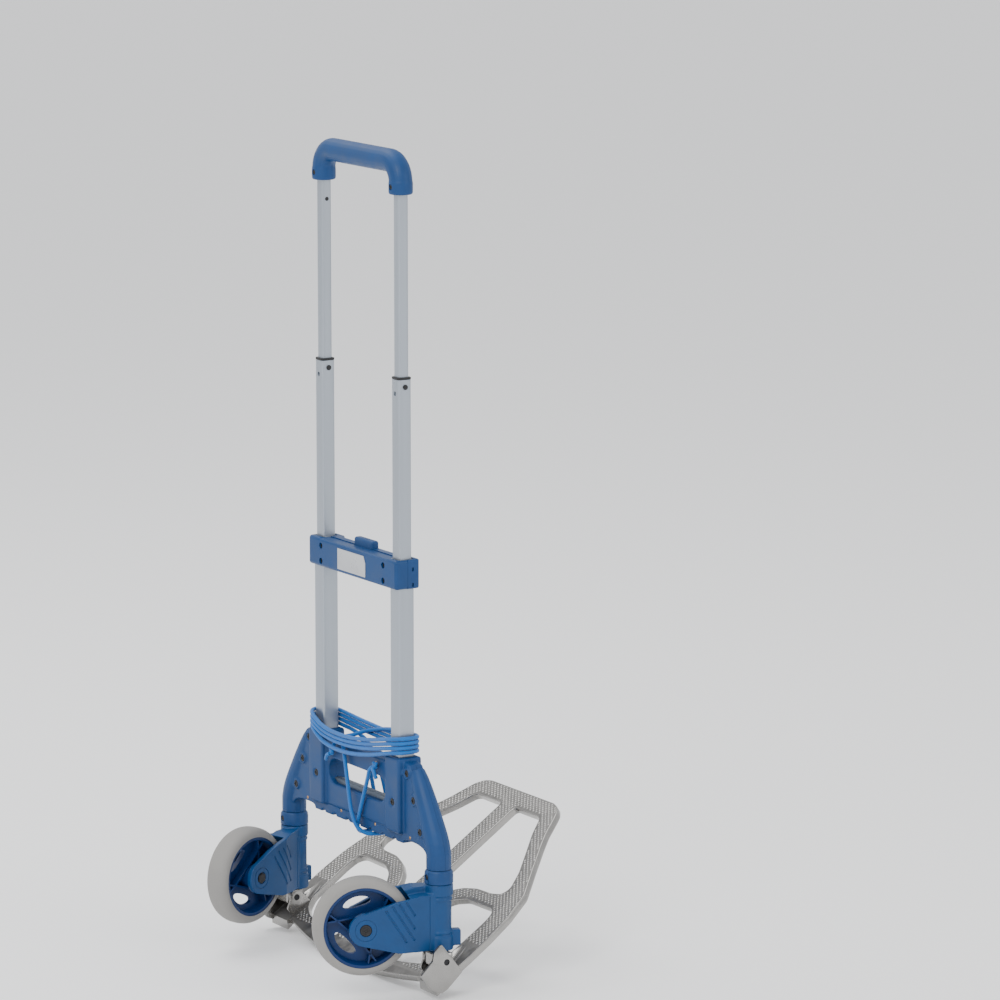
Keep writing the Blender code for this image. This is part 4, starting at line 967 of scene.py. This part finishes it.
def rim_shape(first_angle):
    """A rim with three oval windows between bowed ribs, its axle on X."""
    outer, width = RIM_RADIUS, RIM_HALF_WIDTH
    half = [(BEARING_RADIUS + GAP, 0.0188), (HUB_RADIUS - 0.001, 0.0188), (HUB_RADIUS, 0.0178)]
    half += [(HUB_RADIUS + 0.0012, 0.0028), (outer - 0.0075, 0.0028), (outer - 0.0052, width - 0.0012)]
    half += [(outer - 0.0044, width - 0.0002), (outer - 0.0036, width), (outer - 0.0006, width)]
    half.append((outer, width - 0.0006))
    profile = half + [(radius, -along) for radius, along in reversed(half)]
    rim = turned(profile, 72)
    angles = [first_angle + math.tau * k / 3 for k in range(3)]
    cut(rim, *[window_tool(a) for a in angles])
    ribs = joined(*[rib(a, k) for a in angles for k in (-1, 1)])
    return joined(rim, ribs)


def build_wheels():
    """Rims, tyres and bearings."""
    base = TYRE_RADIUS - 0.0134
    crown = []
    for k in range(19):
        a = math.radians(90 - 10 * k)
        bulge = math.copysign(abs(math.sin(a)) ** 0.80, math.sin(a))
        crown.append((base + 0.0125 * abs(math.cos(a)) ** 0.72, TYRE_HALF_WIDTH * bulge))
    crown[0], crown[-1] = (base + 0.0004, TYRE_HALF_WIDTH - 0.0006), (base + 0.0004, 0.0006 - TYRE_HALF_WIDTH)
    bead = [(RIM_RADIUS + GAP, along) for along in (TYRE_HALF_WIDTH - 0.0015, 0.0015 - TYRE_HALF_WIDTH)]
    tyre = turned(bead[:1] + crown + bead[1:], sizes().tyre_steps)
    bearing_profile = [(AXLE_RADIUS + GAP, -0.018), (0.0078, -0.018), (0.0082, -0.0174), (0.0094, -0.0174)]
    bearing_profile += [(0.0098, -0.018), (BEARING_RADIUS, -0.018), (BEARING_RADIUS, 0.018), (0.0098, 0.018)]
    bearing_profile += [(0.0094, 0.0174), (0.0082, 0.0174), (0.0078, 0.018), (AXLE_RADIUS + GAP, 0.018)]
    bearing = turned(bearing_profile, 40)
    rims = {side: rim_shape(math.radians(RIM_TURN[side])) for side in ("right", "left")}
    place = arm_matrix(FORK_REACH, WHEEL_Z)
    for side, sign in SIDES:
        matrix = place if sign > 0 else MIRROR @ place
        for master, name, finish, node, angle in (
            (tyre, f"tyre_{side}_moulded", "tyre_rubber", f"tyre_{side}", 40),
            (bearing, f"bearing_{side}_turned", "zinc_steel", f"bearing_{side}", 35),
            (rims[side], f"rim_{side}_moulded", "rim_plastic", f"rim_{side}", 35),
        ):
            settle(copied(master, matrix), name, f"wheel_{side}", finish, [node], angle)
    for master in (tyre, bearing, *rims.values()):
        bpy.data.objects.remove(master)


RIM_TURN = {"right": 13.0, "left": 40.0}


# ---------------------------------------------------------------- toe plate


def on_plate(u, v, w):
    """A point of the toe plate: u across, v along it from the hinge, w above its plane."""
    forward = Vector((0, math.cos(PLATE_TILT), math.sin(PLATE_TILT)))
    normal = Vector((0, -math.sin(PLATE_TILT), math.cos(PLATE_TILT)))
    return Vector((u, PIVOT_Y, PIVOT_Z)) + forward * v + normal * w


def rounded(points, radius, steps=4):
    """An outline with each corner rounded."""
    made = []
    count = len(points)
    for k, point in enumerate(points):
        here = Vector(point)
        before = (Vector(points[k - 1]) - here)
        after = (Vector(points[(k + 1) % count]) - here)
        reach = min(radius, before.length * 0.45, after.length * 0.45)
        start, end = here + before.normalized() * reach, here + after.normalized() * reach
        for t in range(steps + 1):
            s = t / steps
            spot = start * (1 - s) ** 2 + here * 2 * s * (1 - s) + end * s * s
            made.append((spot.x, spot.y))
    return made


def plate_outline():
    """The toe plate's outer edge."""
    edge = [(0.2185, -0.024), (0.2195, 0.030), (0.2190, 0.068), (0.2150, 0.106), (0.2030, 0.146)]
    edge += [(0.170, 0.187), (0.138, 0.228), (0.124, 0.248), (0.1135, 0.268), (0.105, 0.283)]
    edge += [(0.094, 0.292), (0.080, 0.296)]
    mirrored = [(-u, v) for u, v in reversed(edge)]
    rear = [(CHEEK_INNER_X * (k / 12 - 1), 0) for k in range(25)]
    rear = [(u, REAR_BULGE + (KNUCKLE_REAR - REAR_BULGE) * (u / CHEEK_INNER_X) ** 2) for u, _ in rear]
    return edge + mirrored + rear


def front_opening():
    """The opening between the spine and a side bar."""
    inner = [(0.017, 0.2675), (0.017, -0.020), (0.034, -0.019), (0.037, 0.060), (0.045, 0.094)]
    bend = [(0.060, 0.111), (0.080, 0.123), (0.106, 0.130), (0.140, 0.131), (0.160, 0.136)]
    outer = [(0.164, 0.148), (0.150, 0.175), (0.124, 0.208), (0.100, 0.238), (0.084, 0.264), (0.076, 0.2675)]
    return inner + bend + outer


def rear_opening():
    """The opening between a cross bar, a side bar and the rear bar."""
    inner = [(0.060, -0.0205), (0.062, 0.055), (0.072, 0.086), (0.086, 0.100), (0.108, 0.109)]
    outer = [(0.168, 0.110), (0.179, 0.102), (0.1815, 0.085), (0.1800, 0.022), (0.168, 0.004), (0.150, -0.006)]
    return inner + outer + [(0.120, -0.0135), (0.090, -0.0180)]


def inside(point, outline):
    """Whether a flat point is inside an outline."""
    x, y = point
    found = False
    for (x1, y1), (x2, y2) in zip(outline, outline[1:] + outline[:1]):
        if (y1 > y) != (y2 > y) and x < (x2 - x1) * (y - y1) / (y2 - y1) + x1:
            found = not found
    return found


def edge_distance(point, outline):
    """How far a flat point is from an outline."""
    here = Vector(point)
    nearest = 1.0
    for first, second in zip(outline, outline[1:] + outline[:1]):
        a, b = Vector(first), Vector(second)
        along = b - a
        t = max(0.0, min(1.0, (here - a).dot(along) / max(along.length_squared, 1e-12)))
        nearest = min(nearest, (a + along * t - here).length)
    return nearest


def build_toe_plate():
    """The cast toe plate: an open frame with a spine, two cross bars and two knuckles."""
    outline = plate_outline()
    holes = []
    for _, sign in SIDES:
        for hole in (front_opening(), rear_opening()):
            holes.append(rounded([(sign * u, v) for u, v in hole], 0.006, 3))
    plate = outlined(rounded(outline, 0.004, 2), PLATE_BOTTOM, PLATE_TOP, on_plate)
    for hole in holes:
        cut(plate, outlined(hole, -0.06, 0.02, on_plate))
    softened(plate, 0.0013, 3)
    for _, sign in SIDES:
        cut(plate, sleeve_room(sign * LEG_X))
    cheeks = []
    knuckle = [(0.008, 0.025), (0.0105, -0.0175), (0.0105, -0.027), (-0.0190, -0.0310)]
    knuckle += [(-0.0290, -0.0300), (-0.0390, -0.0150), (-0.0395, 0.0108), (-0.0150, 0.0150), (-0.0070, 0.0235)]
    small = arc((0.0, 0.0), 0.0106, -10, 165, 10) + [(-0.0205, -0.0040), (-0.0200, -0.0235), (0.0147, -0.0235)]
    heel = [(-0.036, -0.0285), (-0.030, -0.0172), (0.0, -0.0172), (0.0, -0.0265)]
    for _, sign in SIDES:
        outer = (CHEEK_OUTER_X - CHEEK_THICKNESS, CHEEK_OUTER_X)
        inner = (CHEEK_INNER_X, CHEEK_INNER_X + CHEEK_THICKNESS)
        for shape, (near, far) in ((knuckle, outer), (small, inner)):
            low, high = sorted((sign * near, sign * far))
            cheek = outlined(rounded(shape, 0.0022, 3), low, high, lambda u, v, w: on_plate(w, u, v))
            softened(cheek, 0.0006, 2)
            pin_room = rod(HINGE_PIN_RADIUS + GAP, 0, 0.1, 32)
            cut(cheek, moved(pin_room, Matrix.Translation((sign * 0.20 - 0.05, PIVOT_Y, PIVOT_Z))))
            cheeks.append(cheek)
        near, far = sorted((sign * CHEEK_INNER_X, sign * CHEEK_OUTER_X))
        web = outlined(heel, near + 0.001, far - 0.001, lambda u, v, w: on_plate(w, u, v))
        cheeks.append(web)
    plate = joined(plate, *cheeks)
    normal = on_plate(0, 0, 1) - on_plate(0, 0, 0)
    settle(plate, "cast_toe_plate", "toe_plate", "cast_polished", ["toe_plate"], 35)
    plate.data.materials.append(material("cast_top"))
    for face in plate.data.polygons:
        if face.normal.dot(normal) > 0.97 and face.area > 0.00001:
            face.material_index = 1
    build_studs(outline, holes)


def sleeve_room(x):
    """The hollow in the plate that takes a fork's sleeve when the plate is folded up."""
    back = Matrix.Rotation(-FOLD_UP, 4, "X")
    pivot = Matrix.Translation((0, PIVOT_Y, PIVOT_Z))
    tool = rod(FORK_RADIUS + 0.0007, 0, 0.09, 40)
    return moved(tool, pivot @ back @ pivot.inverted() @ standing(x, FORK_BOTTOM - 0.0005))


def build_studs(outline, holes):
    """Rows of small raised studs over the plate's tread, each row shifted by half a pitch."""
    pitch, height = sizes().stud_pitch, sizes().stud_height
    long_half, wide_half = pitch * 0.40, pitch * 0.22
    bpy.ops.object.select_all(action="DESELECT")
    bpy.ops.mesh.primitive_circle_add(vertices=8, radius=1, fill_type="NGON", location=(0, 0, 0))
    stud = bpy.context.object
    edit(stud)
    bpy.ops.mesh.extrude_region_move(TRANSFORM_OT_translate={"value": (0, 0, 1)})
    bpy.ops.transform.resize(value=(0.35, 0.35, 1))
    bpy.ops.mesh.select_all(action="SELECT")
    bpy.ops.mesh.normals_make_consistent(inside=False)
    leave()
    moved(stud, Matrix.Diagonal((wide_half, long_half, height + 0.0003, 1)))
    row = pitch * 0.62
    columns, rows = int(0.44 / row) + 1, int(0.33 / pitch) + 1
    modify(stud, "ARRAY", count=rows, use_relative_offset=False, use_constant_offset=True,
           constant_offset_displace=(0, pitch, 0))
    other = copied(stud, Matrix.Translation((row, pitch / 2, 0)))
    stud = joined(stud, other)
    modify(stud, "ARRAY", count=columns // 2, use_relative_offset=False, use_constant_offset=True,
           constant_offset_displace=(row * 2, 0, 0))
    moved(stud, Matrix.Translation((-row * (columns // 2), -0.018, PLATE_TOP - 0.0003)))
    kept = {}
    per_stud = 16
    verts = stud.data.vertices
    for k in range(0, len(verts), per_stud):
        centre = sum((verts[k + j].co for j in range(per_stud)), Vector()) / per_stud
        spot = (centre.x, centre.y)
        ok = inside(spot, outline) and edge_distance(spot, outline) > 0.0034
        ok = ok and not any(inside(spot, hole) or edge_distance(spot, hole) < 0.0034 for hole in holes)
        kept[k // per_stud] = ok and not (abs(spot[0]) > 0.170 and spot[1] < 0.052)
    edit(stud)
    bpy.ops.mesh.select_mode(type="VERT")
    bpy.ops.mesh.select_all(action="DESELECT")
    leave()
    for vert in stud.data.vertices:
        vert.select = not kept[vert.index // per_stud]
    bpy.ops.object.mode_set(mode="EDIT")
    bpy.ops.mesh.delete(type="VERT")
    leave()
    for vert in stud.data.vertices:
        vert.co = on_plate(*vert.co)
    # The studs take the lighter stud finish, a painted highlight.
    settle(stud, "tread_studs", "toe_plate", "cast_stud", angle=60)


def build_hinges():
    """Better finishes on the feet, links, pins and other small pieces that keep their CAD shape."""
    steel = [f"{stem}_{side}" for stem in ("fold_link", "leg_pin", "latch_rod") for side, _ in SIDES]
    kept = [("zinc_steel", name) for name in steel + ["button_spring"]]
    for stem, finish in (
        ("hinge_pin", "black_steel"), ("fork_bush", "black_plastic"), ("hinge_foot", "cast_polished"),
    ):
        kept += [(finish, f"{stem}_{side}") for side, _ in SIDES]
    for finish, name in kept:
        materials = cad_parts[name].data.materials
        materials.clear()
        materials.append(material(finish))


# ---------------------------------------------------------------- cord


def cord_route():
    """The elastic cord's points, from the knot on the right to the knot on the left."""
    start = [
        (0.0520, -0.0170, 0.2800), (0.0480, -0.0200, 0.2755), (0.0420, -0.0190, 0.2650),
        (0.0310, -0.0172, 0.2450), (0.0215, -0.0166, 0.2250), (0.0135, -0.0164, 0.2060),
        (0.0100, -0.0167, 0.1930), (0.0098, -0.0160, 0.1868), (0.0095, -0.0108, 0.1825),
        (0.0085, 0.0050, 0.1825), (0.0065, 0.0156, 0.1858), (0.0030, 0.0180, 0.1990),
        (-0.0080, 0.0190, 0.2300), (-0.0200, 0.0195, 0.2580), (-0.0290, 0.0185, 0.2800),
        (-0.0330, 0.0168, 0.2905), (-0.0325, 0.0158, 0.2967), (-0.0310, 0.0000, 0.2990),
        (-0.0290, -0.0158, 0.2967), (-0.0265, -0.0170, 0.2900), (-0.0195, -0.0178, 0.2680),
        (-0.0105, -0.0192, 0.2400), (-0.0010, -0.0212, 0.2160), (0.0090, -0.0224, 0.2010),
        (0.0165, -0.0205, 0.1905), (0.0245, -0.0130, 0.1836), (0.0300, -0.0040, 0.1826),
        (0.0320, 0.0095, 0.1826), (0.0312, 0.0155, 0.1852), (0.0298, 0.0178, 0.1915),
        (0.0240, 0.0225, 0.2050), (0.0100, 0.0255, 0.2350), (-0.0090, 0.0255, 0.2680),
        (-0.0400, 0.0235, 0.2960),
    ]
    turns = []
    side_x = TUBE_X + OUTER_TUBE / 2 + 0.0045
    side_y = OUTER_TUBE / 2 - 0.0005
    corner_x = TUBE_X + OUTER_TUBE / 2 - 0.0060
    back_y = OUTER_TUBE / 2 + 0.0050
    for turn in range(CORD_TURNS):
        z = CORD_LOW_TURN + CORD_PITCH * turn
        lift = CORD_PITCH / 2
        slack = 0.0150 + 0.0005 * turn if turn else 0.0195
        if turn:
            turns += [(0.040, 0.0205, z - lift - 0.004), (-0.040, 0.0205, z - 0.005)]
        turns += [
            (-corner_x, back_y, z), (-side_x, side_y, z), (-side_x, -side_y, z), (-0.103, -0.0207, z - 0.0030),
            (-0.070, -0.0222, z - slack * 0.85), (-0.015, -0.0224, z - slack),
            (0.045, -0.0222, z - slack * 0.60), (0.103, -0.0207, z + lift / 2),
            (side_x, -side_y, z + lift), (side_x, side_y, z + lift),
            (corner_x, back_y, z + lift),
        ]
    end = [
        (0.040, 0.0190, 0.3240), (-0.020, 0.0160, 0.3110), (-0.036, 0.0040, 0.3040), (-0.044, -0.0110, 0.3000),
        (-0.0495, -0.0168, 0.2930), (-0.0530, -0.0178, 0.2860),
    ]
    return start + turns + end


def smoothed(points, steps):
    """A smooth line through the points."""
    made = []
    count = len(points)
    for k in range(count - 1):
        p0, p1 = Vector(points[max(k - 1, 0)]), Vector(points[k])
        p2, p3 = Vector(points[k + 1]), Vector(points[min(k + 2, count - 1)])
        gap = (p2 - p1).length
        before, after = max((p1 - p0).length, 1e-6), max((p3 - p2).length, 1e-6)
        lead = (p2 - p0) * (gap / (gap + before)) if k else p2 - p1
        trail = (p3 - p1) * (gap / (gap + after)) if k < count - 2 else p2 - p1
        for t in range(steps):
            s = t / steps
            made.append(
                p1 * (2 * s**3 - 3 * s**2 + 1) + lead * (s**3 - 2 * s**2 + s)
                + p2 * (3 * s**2 - 2 * s**3) + trail * (s**3 - s**2)
            )
    return made + [Vector(points[-1])]


def tube_mesh(name, line, radius, sides=12):
    """A tube along a line, with a map whose u runs round it and whose v runs along it."""
    verts, faces, loops = [], [], []
    side = Vector((0, 0, 1))
    run = 0.0
    runs = []
    for k, point in enumerate(line):
        ahead = (line[min(k + 1, len(line) - 1)] - line[max(k - 1, 0)]).normalized()
        side = (side - ahead * side.dot(ahead)).normalized()
        other = ahead.cross(side)
        for j in range(sides):
            a = math.tau * j / sides
            verts.append(point + (side * math.cos(a) + other * math.sin(a)) * radius)
        run += (point - line[k - 1]).length if k else 0.0
        runs.append(run)
    for k in range(len(line) - 1):
        for j in range(sides):
            n = (j + 1) % sides
            faces.append((k * sides + j, k * sides + n, (k + 1) * sides + n, (k + 1) * sides + j))
            low, high = runs[k] / (math.tau * radius), runs[k + 1] / (math.tau * radius)
            loops += [(j / sides, low), ((j + 1) / sides, low), ((j + 1) / sides, high), (j / sides, high)]
    last = (len(line) - 1) * sides
    faces.append(tuple(reversed(range(sides))))
    faces.append(tuple(last + j for j in range(sides)))
    loops += [(0.5, 0.5)] * (2 * sides)
    mesh = bpy.data.meshes.new(name)
    mesh.from_pydata(verts, [], faces)
    around = mesh.uv_layers.new(name="around")
    for spot, value in zip(around.data, loops):
        spot.uv = value
    obj = bpy.data.objects.new(name, mesh)
    bpy.context.scene.collection.objects.link(obj)
    return obj


# Each knot's side, its centre, and its tail's points.
KNOTS = (
    (
        "right", (0.0578, -0.0178, 0.2832),
        [(0.056, -0.0200, 0.2790), (0.0625, -0.0215, 0.2740), (0.0660, -0.0205, 0.2665)],
    ),
    (
        "left", (-0.0558, -0.0184, 0.2806),
        [(-0.0570, -0.0205, 0.2770), (-0.0640, -0.0210, 0.2735), (-0.0700, -0.0190, 0.2665)],
    ),
)


def build_cord():
    """The elastic cord, wound round the uprights and tied off at both ends."""
    points = [Vector(p) + Vector((0, FRAME_Y, 0)) for p in cord_route()]
    line = smoothed(points, 4)
    radius = sizes().cord / 2
    cord = tube_mesh("load_cord", line, radius)
    settle(cord, "load_cord", "frame", "cord_sheath", ["elastic_cord"], shift=False)
    knots = [build_knot(side, Vector(spot), tail, radius) for side, spot, tail in KNOTS]


def build_knot(side, centre, tail, radius):
    """An overhand knot: a crossed loop of the same cord, with a short tail."""
    shift = Vector((0, FRAME_Y, 0))
    loop = []
    for k in range(25):
        a = math.tau * k / 24
        x, z = math.sin(a) + 2 * math.sin(2 * a), math.cos(a) - 2 * math.cos(2 * a)
        spot = Vector((x, -math.sin(3 * a) * 0.8, z))
        loop.append(centre + shift + spot * 0.00125)
    knot = tube_mesh(f"knot_{side}", smoothed(loop, 3), radius * 0.78, 10)
    run = tube_mesh("tail", smoothed([Vector(p) + shift for p in tail], 4), radius * 0.95, 10)
    piece = joined(knot, run)
    return settle(piece, f"cord_knot_{side}_tied", "frame", "cord_sheath", [f"cord_knot_{side}"], shift=False)


# ---------------------------------------------------------------- stage


def build_stage():
    """A pale floor, soft light and the camera."""
    bpy.ops.object.select_all(action="DESELECT")
    bpy.ops.mesh.primitive_plane_add(size=160, location=(0, 0, -0.0005))
    floor = bpy.context.object
    floor.name = "floor"
    pale = bpy.data.materials.new("pale_floor")
    pale.use_nodes = True
    shader = pale.node_tree.nodes["Principled BSDF"]
    shader.inputs["Base Color"].default_value = (0.95, 0.95, 0.95, 1)
    shader.inputs["Roughness"].default_value = 0.7
    floor.data.materials.append(pale)
    world = bpy.data.worlds.new("studio") if not bpy.data.worlds else bpy.data.worlds[0]
    bpy.context.scene.world = world
    world.use_nodes = True
    background = world.node_tree.nodes["Background"]
    background.inputs["Color"].default_value = (0.97, 0.98, 1.0, 1)
    background.inputs["Strength"].default_value = 1.15
    for name, place, size, power in (
        ("key_light", (2.2, -3.2, 3.6), 2.2, 120.0),
        ("side_light", (3.4, 1.6, 2.2), 1.8, 24.0),
        ("top_light", (-1.6, -0.6, 3.8), 2.4, 75.0),
    ):
        lamp = bpy.data.lights.new(name, "AREA")
        lamp.size = size
        lamp.energy = power
        obj = bpy.data.objects.new(name, lamp)
        bpy.context.scene.collection.objects.link(obj)
        obj.location = place
        obj.rotation_euler = (Vector((0, 0, 0.45)) - Vector(place)).to_track_quat("-Z", "Y").to_euler()
    camera = bpy.data.objects.new("camera", bpy.data.cameras.new("camera"))
    bpy.context.scene.collection.objects.link(camera)
    camera.location = (5.86916, -3.44723, 1.83854)
    camera.rotation_euler = (math.radians(79.884), 0.0, math.radians(58.386))
    camera.data.lens = 187.66
    camera.data.sensor_width = 36
    camera.data.clip_end = 100
    bpy.context.scene.camera = camera


# ---------------------------------------------------------------- operators and panel


def piece_operator(key, label, text, build):
    """An operator that builds one piece or group of like pieces."""

    def execute(self, context):
        build()
        return {"FINISHED"}

    members = {
        "bl_idname": f"hand_truck.{key}", "bl_label": label, "__doc__": text, "execute": execute,
        "bl_options": {"REGISTER", "UNDO"},
    }
    return type(f"HAND_TRUCK_OT_{key}", (bpy.types.Operator,), members)


STEPS = [
    piece_operator(key, key.replace("_", " ").title(), text, build)
    for key, text, build in (
        ("stage", "Add the floor, the lights and the camera", build_stage),
        ("cord", "Wind the elastic cord and tie its ends", build_cord),
        ("uprights", "Build the tubes, end rings and studs", build_uprights),
        ("handle", "Mould the grip", build_handle),
        ("crossbar", "Build the crossbar, its button and plate", build_crossbar),
        ("base", "Mould the base and its strut", build_base),
        ("collars", "Build the leg collars", build_collars),
        ("forks", "Mould the wheel forks and their axles", build_forks),
        ("wheels", "Build rims, tyres and bearings", build_wheels),
        ("toe_plate", "Cast the toe plate and its studs", build_toe_plate),
        ("hinges", "Finish the hinge feet, links and pins", build_hinges),
        ("screws", "Place all screws", build_screws),
    )
]


class HAND_TRUCK_PT_panel(bpy.types.Panel):
    """Lists the settings and the building steps."""

    bl_idname = "HAND_TRUCK_PT_panel"
    bl_label = "Hand Truck"
    bl_space_type = "VIEW_3D"
    bl_region_type = "UI"
    bl_category = "Hand Truck"

    def draw(self, context):
        layout = self.layout
        for group in (context.scene.hand_truck_colours, context.scene.hand_truck_sizes):
            box = layout.box()
            for key in group.__annotations__:
                box.prop(group, key)
        for step in STEPS:
            layout.operator(step.bl_idname)


CLASSES = [HandTruckColours, HandTruckSizes, *STEPS, HAND_TRUCK_PT_panel]


def register():
    for each in CLASSES:
        bpy.utils.register_class(each)
    bpy.types.Scene.hand_truck_colours = PointerProperty(type=HandTruckColours)
    bpy.types.Scene.hand_truck_sizes = PointerProperty(type=HandTruckSizes)


def unregister():
    del bpy.types.Scene.hand_truck_sizes
    del bpy.types.Scene.hand_truck_colours
    for each in reversed(CLASSES):
        bpy.utils.unregister_class(each)


def main():
    register()
    for step in STEPS:
        key = step.bl_idname.split(".")[1]
        getattr(bpy.ops.hand_truck, key)()


if __name__ == "__main__":
    main()
